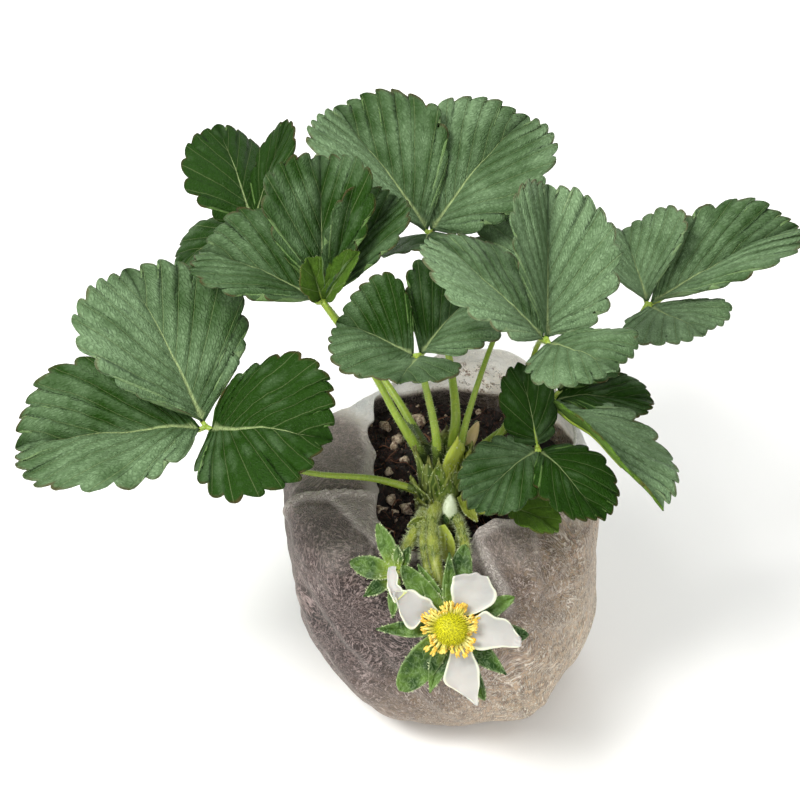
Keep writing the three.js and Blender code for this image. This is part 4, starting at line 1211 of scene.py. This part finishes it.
def ball_at(x, y, size, sink):
    turn = Vector((chance.uniform(-1, 1), chance.uniform(-1, 1), chance.uniform(-1, 1)))
    squash = chance.uniform(0.7, 1.0)
    return aimed((x, y, soil_height(x, y) + sink * size), turn, size, size * squash)


for x, y, size in PERLITE:
    press(soil_form, chance.choice(rough_balls), [ball_at(x, y, size, 0.45)], 2)
for _ in range(SMALL_GRAINS):
    x, y = on_soil(chance, SOIL_REACH + 1)
    press(soil_form, chance.choice(rough_balls), [ball_at(x, y, 0.25 + 0.7 * chance.random() ** 2, 0.4)], 2)
crumbs = [ball_at(*on_soil(chance, SOIL_REACH + 1), chance.uniform(0.3, 1.1), 0.3) for _ in range(CRUMBS)]
press(soil_form, ball_stamp, crumbs, 0)
for _ in range(SHREDS):
    x, y = on_soil(chance, SOIL_REACH)
    way, bend = chance.uniform(0, 6.28), chance.uniform(-0.45, 0.45)
    reach = chance.uniform(2.5, 8)
    spots = []
    for s in (-0.5, -0.2, 0.15, 0.5):
        px = x + reach * s * math.cos(way) - bend * reach * s * s * math.sin(way)
        py = y + reach * s * math.sin(way) + bend * reach * s * s * math.cos(way)
        spots.append((px, py, soil_height(px, py) + 0.3 + chance.uniform(0, 1.1)))
    if all(math.hypot(px, py) < SOIL_REACH for px, py, _ in spots):
        thin = chance.uniform(0.05, 0.17)
        add_stalk(soil_form, evenly(smooth_path(spots, 4), 9), lambda along: thin, 4, material=1)
finished_piece(soil_form, "potting_soil", [soil_dark, bark_shred, perlite_dusty], "soil")

# %% [markdown]
# ## The crown
# All stalks spring from a short thick crown. Each broadens there into a sheath with papery wings, which
# clasps the younger stalks inside it. The crown is built as a bundle: a knobbly core first, and a
# swollen foot for every stalk.

# %% Crown
crown_skin, tree, shader = new_material("crown_skin", 0.5)
spot = place_on(tree)
skin = clouded(tree, spot, (150.0, 3.0), 0.36, 0.64, colour(30, 46, 9), colour(98, 120, 36))
tree.links.new(skin, shader.inputs["Base Color"])
bump(tree, shader, cloudy(tree, spot, 500.0, 4.0), 0.0005)
CROWN = np.array([-0.5, -4.0, 0.0])
crown_form = bmesh.new()


def core_place(across, along):
    turn = 2 * math.pi * across
    radius = 4.6 * math.sin(math.pi * (0.08 + 0.92 * (1 - along))) ** 0.55 if along < 1 else 0
    knobs = 0.16 * abs(math.cos(2.5 * turn + 4 * along))
    radius *= 1 + knobs + 0.1 * noise.noise(Vector((turn, along * 6, 0)))
    spot = CROWN + np.array([radius * math.cos(turn), radius * math.sin(turn), 48 + 22 * along])
    return spot, (across, along, 0.3)


bent_grid(crown_form, 48, 30, core_place, rolled=True, capped=True)
for number, leaf in enumerate(LEAVES.values()):
    first, second = np.array(leaf["stalk"][0], float), np.array(leaf["stalk"][1], float)
    foot = CROWN + np.array([0.35, 0.35, 0]) * (first - CROWN)
    foot[2] = first[2] - 9
    swollen = evenly(smooth_path([foot, first, first + (second - first) * 0.55], 20), 40)
    thick = leaf["radius"] * leaf.get("slim", SLIM)

    def girth(along):
        return thick * (1.5 + 1.1 * (1 - along) ** 1.6)

    add_stalk(crown_form, swollen, girth, 14)
    stalk_hairs(crown_form, swollen, girth, 110, 0.8, number)
finished_piece(crown_form, "crown_core", [crown_skin, hair_white], "crown", tidy=True)

# %% [markdown]
# The sheaths themselves are thin blades that hug the crown, broad and clasping at the foot and drawn
# out to a free tip. The table gives for each its angle round the crown, the height of its foot, its
# length, its lean, its girth and its tone, which paints light and shade on it: lit above zero, shaded
# below. Solidify gives them their thickness, and a few short hairs lie on them.

# %% Sheaths
SHEATH_THICKNESS = 0.4
SHEATHS = [
    (264, 60, 19, 4, 0.5, -0.2), (214, 57, 15, 12, 0.65, 0.0), (232, 54, 13, 14, 0.6, -0.2),
    (240, 58, 21, 3, 0.6, -0.6), (205, 60, 20, 6, 0.6, -0.4), (288, 56, 18, 2, 0.6, -0.3),
    (302, 60, 16, 6, 0.5, 0.2), (314, 69, 15, 2, 0.85, 1.0), (335, 60, 19, 9, 0.6, 0.4),
    (20, 62, 14, 10, 1.0, 0.0), (140, 62, 14, 8, 1.0, 0.0), (80, 62, 14, 12, 1.0, 0.0),
    (180, 62, 15, 8, 0.8, -0.2), (272, 52, 13, 4, 0.7, -0.8), (252, 54, 12, 9, 0.5, 0.2),
    (322, 55, 12, 12, 0.6, -0.2),
]


def sheath_place(angle, foot, length, lean, girth, tone, seed):
    def place(across, along):
        wide = 2 * across - 1
        height = foot + length * along * (1 - 0.12 * abs(wide))
        hug = 5.9 - 0.07 * (height - 56) + 0.5 * math.sin(3 * seed)
        narrowed = (1 - along**3.2) ** 0.75 * (0.8 + 0.45 * math.sin(math.pi * along))
        turn = math.radians(angle + 44 * girth * wide * max(0.015, narrowed))
        away = hug + length * math.tan(math.radians(lean)) * along**2.2 + 0.5 * along * (1 - wide * wide)
        away += 0.6 * noise.noise(Vector((wide * 1.5, along * 4, seed)))
        height += 1.1 * abs(wide) ** 3 * noise.noise(Vector((wide, along * 6, seed)))
        spot = CROWN + np.array([away * math.cos(turn), away * math.sin(turn), height])
        return spot, (wide, along, tone)

    return place


def face_hairs(form, place, count, length, seed):
    chance = random.Random(seed)
    matrices = []
    for _ in range(count):
        across, along = chance.uniform(0.06, 0.9), chance.uniform(0.05, 0.9)
        root = np.array(place(across, along)[0])
        aside = np.array(place(across + 0.03, along)[0]) - root
        ahead = np.array(place(across, along + 0.03)[0]) - root
        out = np.cross(aside, ahead)
        out = out / np.linalg.norm(out) * (1 if out[2] - out[1] > 0 else -1)
        way = 0.4 * out + ahead / np.linalg.norm(ahead)
        way = way + np.array([chance.uniform(-0.35, 0.35) for _ in range(3)])
        matrices.append(aimed(root + 0.12 * out, way, 0.035, length * chance.uniform(0.6, 1.2)))
    press(form, hair_stamp, matrices, HAIR_MATERIAL)


sheath_form = bmesh.new()
for seed, sheath in enumerate(SHEATHS):
    place = sheath_place(*sheath, seed)
    bent_grid(sheath_form, 14, 22, place)
    margin_hairs(sheath_form, place, 26, seed)
    face_hairs(sheath_form, place, 24, 0.7, seed)
sheaths = finished_piece(sheath_form, "crown_sheaths", [sheath_skin, hair_white], "crown")
thicken(sheaths, SHEATH_THICKNESS)

# %% [markdown]
# ## The flower
# The open flower faces the viewer. Its parts lie in one tilted plane, so they are laid out as on a
# drawing board: to the right and up across the flower's face, and out towards the viewer. A sepal is an
# oval blade from its foot to its tip; a petal is spanned between its two curved edges, because real
# petals are lopsided and cupped.

# %% Drawing board of the flower
FLOWER = np.array([1.3, -45.0, 59.2])
FACING = -np.array(SIGHT)
SPENT = np.array([-10.5, -34.0, 65.2])
SPENT_FACING = np.array([-0.45, -0.55, 0.7])
SPENT_FACING = SPENT_FACING / np.linalg.norm(SPENT_FACING)
PETAL_COLUMNS, PETAL_ROWS = 24, 40


def board(centre, facing):
    right = np.array([1.0, 0, 0]) - facing * facing[0]
    right /= np.linalg.norm(right)
    rise = np.cross(facing, right)
    return lambda x, y, out: centre + x * right + y * rise + out * facing


on_flower = board(FLOWER, FACING)
on_spent = board(SPENT, SPENT_FACING)


def sepal_place(put, turn, outer, width, low, high, blunt, tone, seed):
    angle = math.radians(turn)
    way, aside = (math.cos(angle), math.sin(angle)), (-math.sin(angle), math.cos(angle))

    def place(across, along):
        wide = 1 - 2 * across
        later = max(0.0, 2 * along - 1)
        swell = 0.4 + 0.6 * math.sin(math.pi / 2 * min(1.0, 2 * along))
        swell *= blunt * math.sqrt(1 - later**2.6) + (1 - blunt) * (1 - later**1.5)
        half = width / 2 * max(0.02, swell)
        reach = 1 + (outer - 1) * along
        out = low + (high - low) * along**2 + 0.75 * swell * wide * wide - 0.3 * math.exp(-((wide * 6) ** 2))
        out += 0.35 * noise.noise(Vector((reach * 0.4, wide, seed)))
        spot = put(way[0] * reach + aside[0] * wide * half, way[1] * reach + aside[1] * wide * half, out)
        return spot, (wide, along, tone)

    return place


def petal_place(left_edge, right_edge, low, high, cup, seed):
    left = evenly(smooth_path(left_edge, 16), PETAL_ROWS + 1)
    right = evenly(smooth_path(right_edge, 16), PETAL_ROWS + 1)

    def place(across, along):
        step = round(along * PETAL_ROWS)
        x, y = left[step] + (right[step] - left[step]) * across
        wide = 2 * across - 1
        bow = 0.8 * (1 - wide * wide) + 0.5 * noise.noise(Vector((wide * 2.4, seed, 4)))
        bow *= eased(along, 0.5, 1.0)
        ragged = 0.35 * wide * noise.noise(Vector((along * 5, seed, wide)))
        x, y = x + bow * x / math.hypot(x, y) + ragged, y + bow * y / math.hypot(x, y) + ragged
        out = low + (high - low) * along**1.6
        out += cup * abs(wide) ** 3 * math.sin(math.pi * min(1, 0.15 + along))
        out += 0.5 * noise.noise(Vector((x * 0.3, y * 0.3, seed))) * along
        out += 0.5 * cup * eased(along, 0.86, 1.0)
        return on_flower(x, y, out), (wide, along, 0)

    return place


# %% [markdown]
# The flower's green parts: eleven sepals in two rows, the shallow cup under the petals, and the hairy
# stalk that leads back over the bag's edge to the crown. Two thinner stalks run beside it, and small
# bracts sit where they branch. Hairs along the sepals' rims catch the light.

# %% Calyx and stalk
SEPAL_THICKNESS, BRACT_THICKNESS = 0.45, 0.3
FLOWER_STALK_HAIRS = 1100
SEPALS = [
    (231, 18.4, 7.4, -0.8, -1.5, 0.8), (252, 15.2, 4.6, -0.9, 0.2, 0.0), (320, 16.4, 4.8, -0.8, -0.6, 0.0),
    (295, 18.4, 3.6, -0.9, -3.0, 0.7), (26, 16.0, 4.6, -0.8, -0.5, 0.6), (354, 17.8, 4.8, -0.9, -2.5, 0.8),
    (181, 16.8, 3.8, -0.9, -1.0, 0.1), (128, 17.8, 5.4, -0.8, -0.4, 0.7), (117, 16.2, 3.8, -0.9, -0.8, 0.1),
    (91, 17.0, 3.4, -0.9, -0.6, 0.0), (80, 19.0, 5.8, -0.9, -2.6, 0.7),
]
FLOWER_STALK = [(-1, -8, 62), (-2.5, -18, 66), (-2, -31, 66.5), (0.5, -39.5, 60)]
SPENT_STALK = [(-4, -8.5, 60.5), (-6, -18, 64.5), (-9.5, -29, 65.5)]
SPENT_SEPALS = [
    (165, 12.3, 5.2, 0, 1, 0.5), (208, 10, 3.6, 0, 0, 0.0), (262, 10, 3.2, 0, 0, 0.1),
    (110, 12.3, 4.4, 0, 2, 0.4), (56, 7, 3.0, 0, 2, 0.2), (80, 6.5, 2.6, 0.2, 2.4, 0.0),
]
SIDE_STALKS = {
    "flower": [
        ([(1.4, -8.5, 60), (3.4, -15, 63.5), (4.8, -24, 65), (4.6, -34, 64.5), (3.2, -42.5, 61)], 0.72),
        ([(-2.8, -9, 61), (-4.4, -18, 65.2), (-4.4, -30, 66), (-1.4, -40, 60.5)], 0.6),
    ],
}
BRACTS = [
    ((3.3, -8.6, 66.2), 0.5, [(-55, 8.5, 2.8, 0, 0.6, 0.2), (-20, 5, 2.2, 0, 1.0, 0.3)]),
    ((-0.8, -18.5, 66.7), 0.7, [(258, 11, 5.2, 0, 0.4, 0.5), (283, 10.5, 4.4, 0.4, 1.0, 0.4)]),
    ((-3.4, -17, 66.6), 0.4, [(236, 9, 3.4, 0, 0.6, 0.3), (205, 5.5, 2.2, 0, 0.8, 0.2)]),
    ((3.8, -18, 65.2), 0.2, [(276, 9, 3.2, 0, 0.6, 0.3)]),
]


def add_sepals(form, put, table, seed, tone=0.0):
    for index, (turn, outer, width, low, high, blunt) in enumerate(table):
        place = sepal_place(put, turn, outer, width, low, high, blunt, tone, seed + index)
        bent_grid(form, 12, 26, place)
        margin_hairs(form, place, 22, seed + index)


def green_piece(name, node, put, table, stalk, end, thick, seed):
    form = bmesh.new()
    add_sepals(form, put, table, seed)
    piece = finished_piece(form, f"{name}_sepals", [sepal_green, hair_white], node)
    thicken(piece, SEPAL_THICKNESS)
    form = bmesh.new()

    def girth(along):
        return thick * (1.25 - 0.25 * along + 0.08 * math.sin(19 * along + seed))

    for points, share in ((stalk, 1.0), *SIDE_STALKS.get(name, ())):
        path = evenly(smooth_path([*points, end] if share == 1.0 else points, 20), 70)
        add_stalk(form, path, lambda along: share * girth(along), 12)
        stalk_hairs(form, path, lambda along: share * thick, FLOWER_STALK_HAIRS, 1.35, seed)
    finished_piece(form, f"{name}_stalk", [flower_stalk_skin, hair_white], node, tidy=True)


green_piece(
    "flower", "flower_calyx_and_stalk", on_flower, SEPALS, FLOWER_STALK, on_flower(0, 0, -1.6), 1.35, 300
)
green_piece(
    "spent_flower", "spent_flower_calyx_and_stalk",
    on_spent, SPENT_SEPALS, SPENT_STALK, on_spent(0, 0, -0.6), 1.15, 340,
)
bract_form = bmesh.new()
for number, (centre, tone, blades) in enumerate(BRACTS):
    add_sepals(bract_form, board(np.array(centre, float), FACING), blades, 370 + number, tone)
bracts = finished_piece(
    bract_form, "flower_bracts", [sheath_skin, hair_white], "flower_calyx_and_stalk"
)
thicken(bracts, BRACT_THICKNESS)

# %% [markdown]
# Four petals are left on this flower, and the place at the lower left is bare. The first petal's outer
# corner is curled round behind a sepal, so it has a second small sheet.

# %% Petals
PETAL_THICKNESS = 0.3
PETALS = {
    "petal_1": [
        (
            [(-2.6, 3.6), (-5.0, 6.6), (-8.3, 8.6), (-12.2, 8.6)],
            [(-3.2, 1.6), (-5.7, 2.7), (-8.6, 0.0), (-10.7, 1.8), (-12.3, 7.2)], 0.6, 2.6, 1.1,
        ),
        (
            [(-9.6, 8.5), (-11.5, 9.3), (-11.9, 11.6), (-12.1, 13.7)],
            [(-12.5, 5.9), (-14.3, 10.2), (-13.6, 12.9)], 2.3, -1.0, 0.7,
        ),
    ],
    "petal_2": [
        (
            [(1.0, 3.2), (0.4, 6.2), (0.0, 8.6), (0.5, 11.8)],
            [(3.6, 2.8), (7.6, 4.4), (10.2, 6.8), (8.3, 11.8)], 0.6, 2.3, 0.9,
        ),
    ],
    "petal_3": [
        (
            [(3.3, 1.6), (5.9, 2.9), (7.9, 4.1), (9.6, 2.6), (12.3, 2.3), (15.0, -1.4)],
            [(3.2, -2.0), (5.9, -4.6), (10.4, -4.2), (15.2, -4.1)], 0.6, 1.9, 1.0,
        ),
    ],
    "petal_4": [
        (
            [(0.6, -3.2), (-1.0, -8.8), (-1.6, -11.7), (2.2, -14.6), (5.4, -16.6)],
            [(3.2, -2.6), (5.5, -6.6), (6.4, -9.8), (6.1, -16.4)], 0.6, 0.9, 0.8,
        ),
    ],
}
for number, (petal_name, sheets) in enumerate(PETALS.items()):
    form = bmesh.new()
    for left_edge, right_edge, low, high, cup in sheets:
        place = petal_place(left_edge, right_edge, low, high, cup, number)
        bent_grid(form, PETAL_COLUMNS, PETAL_ROWS, place)
    petal = finished_piece(form, f"{petal_name}_blade", [petal_white], petal_name)
    thicken(petal, PETAL_THICKNESS)

# %% [markdown]
# In the middle a yellow dome carries many small pistils, set in the spiral that plants use: each one
# turned by the golden angle from the last. Round it stand the stamens, thin threads with a fat anther
# on each.

# %% Dome, pistils and stamens
GOLDEN_ANGLE = math.radians(137.508)
PISTILS, STAMENS = 230, 76
DOME_RADIUS, DOME_BASE = 3.9, 1.35
chance = random.Random(21)
centre_form = bmesh.new()


def dome_place(across, along):
    turn, lean = 2 * math.pi * across, math.pi / 2 * (1 - along)
    radius = DOME_RADIUS * math.sin(lean) * 0.94
    out = DOME_BASE + 0.86 * DOME_RADIUS * math.cos(lean)
    return on_flower(radius * math.cos(turn), radius * math.sin(turn), out), (0, 0, 0)


bent_grid(centre_form, 32, 12, dome_place, rolled=True)
bmesh.ops.remove_doubles(centre_form, verts=centre_form.verts, dist=2e-6)
pistils = []
for index in range(PISTILS):
    lean = math.acos(1 - (index + 0.5) / PISTILS)
    turn = index * GOLDEN_ANGLE
    radius = 0.92 * DOME_RADIUS * math.sin(lean)
    x, y = radius * math.cos(turn), radius * math.sin(turn)
    root = on_flower(x, y, DOME_BASE + 0.84 * DOME_RADIUS * math.cos(lean))
    out = root - on_flower(0, 0, DOME_BASE - 0.5)
    out = out / np.linalg.norm(out) + np.array([chance.uniform(-0.2, 0.2) for _ in range(3)])
    pistils.append(aimed(root, out, 0.2, 0.62))
press(centre_form, ball_stamp, pistils, 0)
press(centre_form, hair_stamp, [pistil @ Matrix.Diagonal((1.9, 1.9, 2.0, 1)) for pistil in pistils], 0)
anthers = []
for index in range(STAMENS):
    turn = 2 * math.pi * (index + chance.uniform(-1.2, 1.2)) / STAMENS
    reach = chance.uniform(4.0, 6.6) + 0.7 * math.cos(5 * turn - 1)
    height = DOME_BASE + chance.uniform(-0.1, 2.4)
    foot = on_flower(3.3 * math.cos(turn), 3.3 * math.sin(turn), DOME_BASE + 0.3)
    tip = on_flower(reach * math.cos(turn), reach * math.sin(turn), height)
    middle = (foot + tip) / 2 + FACING * 0.5
    thread_path = evenly(smooth_path([foot, middle, tip], 6), 9)
    add_stalk(centre_form, thread_path, lambda along: 0.36 - 0.16 * along, 6, material=2)
    out = tip - foot + np.array([chance.uniform(-1, 1) for _ in range(3)])
    size = chance.uniform(0.28, 0.5)
    across = np.cross(FACING, tip - foot) / np.linalg.norm(tip - foot)
    for side in (-0.3, 0.3):
        anthers.append(aimed(tip + side * across, out, size * 0.75, size * 1.7))
press(centre_form, ball_stamp, anthers, 1)
yellows = [pistil_yellow, anther_gold, filament_pale]
finished_piece(centre_form, "dome_and_stamens", yellows, "flower_centre", tidy=True)

# %% [markdown]
# ## The buds
# Two closed buds sit at the crown. The front one is wrapped in white silk, so it is an egg with several
# hundred hairs; the back one is small, pale and nearly bare. Each has a short stalk and a cup of five
# sepals.

# %% Buds


def bud_piece(name, node, root, foot, tip, radius, hairs, colours, seed):
    form = bmesh.new()
    foot, tip = np.array(foot, float), np.array(tip, float)
    path = evenly(np.array([foot - (tip - foot) * 0.1, tip]), 25)

    def profile(along):
        return max(0.02, radius * math.sin(math.pi * (0.08 + 0.92 * along) ** 0.8) ** 0.62)

    add_stalk(form, path, profile, 18)
    stalk_hairs(form, path, profile, hairs, 0.8, seed)
    stem = evenly(smooth_path([*root, foot + 0.1 * (tip - foot)], 10), 20)
    add_stalk(form, stem, lambda along: 0.4 * radius, 10, material=2)
    stalk_hairs(form, stem, lambda along: 0.4 * radius, hairs // 4, 0.7, seed + 1)
    finished_piece(form, name, [colours, hair_white, flower_stalk_skin], node, tidy=True)
    green, way = bmesh.new(), (tip - foot) / np.linalg.norm(tip - foot)
    cup = board(foot - 0.12 * (tip - foot), way)
    rounds = [(72 * k + 18, radius * 1.15, radius * 1.3, 0, radius * 1.3, 0.2) for k in range(5)]
    add_sepals(green, cup, rounds, seed)
    collar = finished_piece(green, f"{name}_sepals", [sepal_green, hair_white], node)
    thicken(collar, BRACT_THICKNESS)


bud_skin = mottled_material("bud_skin", 0.6, 300.0, colour(186, 200, 160), colour(232, 238, 220))
bud_pink = mottled_material("bud_pink", 0.5, 300.0, colour(196, 176, 96), colour(230, 200, 168))
bud_piece(
    "silky_bud", "bud_front", [(0.6, -8.5, 58.5), (1.4, -12.6, 59.6)], (1.5, -13.8, 62.4), (1.7, -10.7, 67.7),
    1.8, 620, bud_skin, 50,
)
bud_piece(
    "small_bud", "bud_back", [(2.4, -1.5, 63), (4.2, -0.2, 67.5)], (5.5, 1, 71), (8.5, 4.5, 77),
    1.5, 60, bud_pink, 51,
)

# %% [markdown]
# ## The scene's box
# The dressed plant has to stay within the CAD model's box, so the scene's box is printed at the end.

# %% Sizes and finish
low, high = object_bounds()
print("scene box in mm:", [round(1000 * (b - a), 1) for a, b in zip(low, high)])
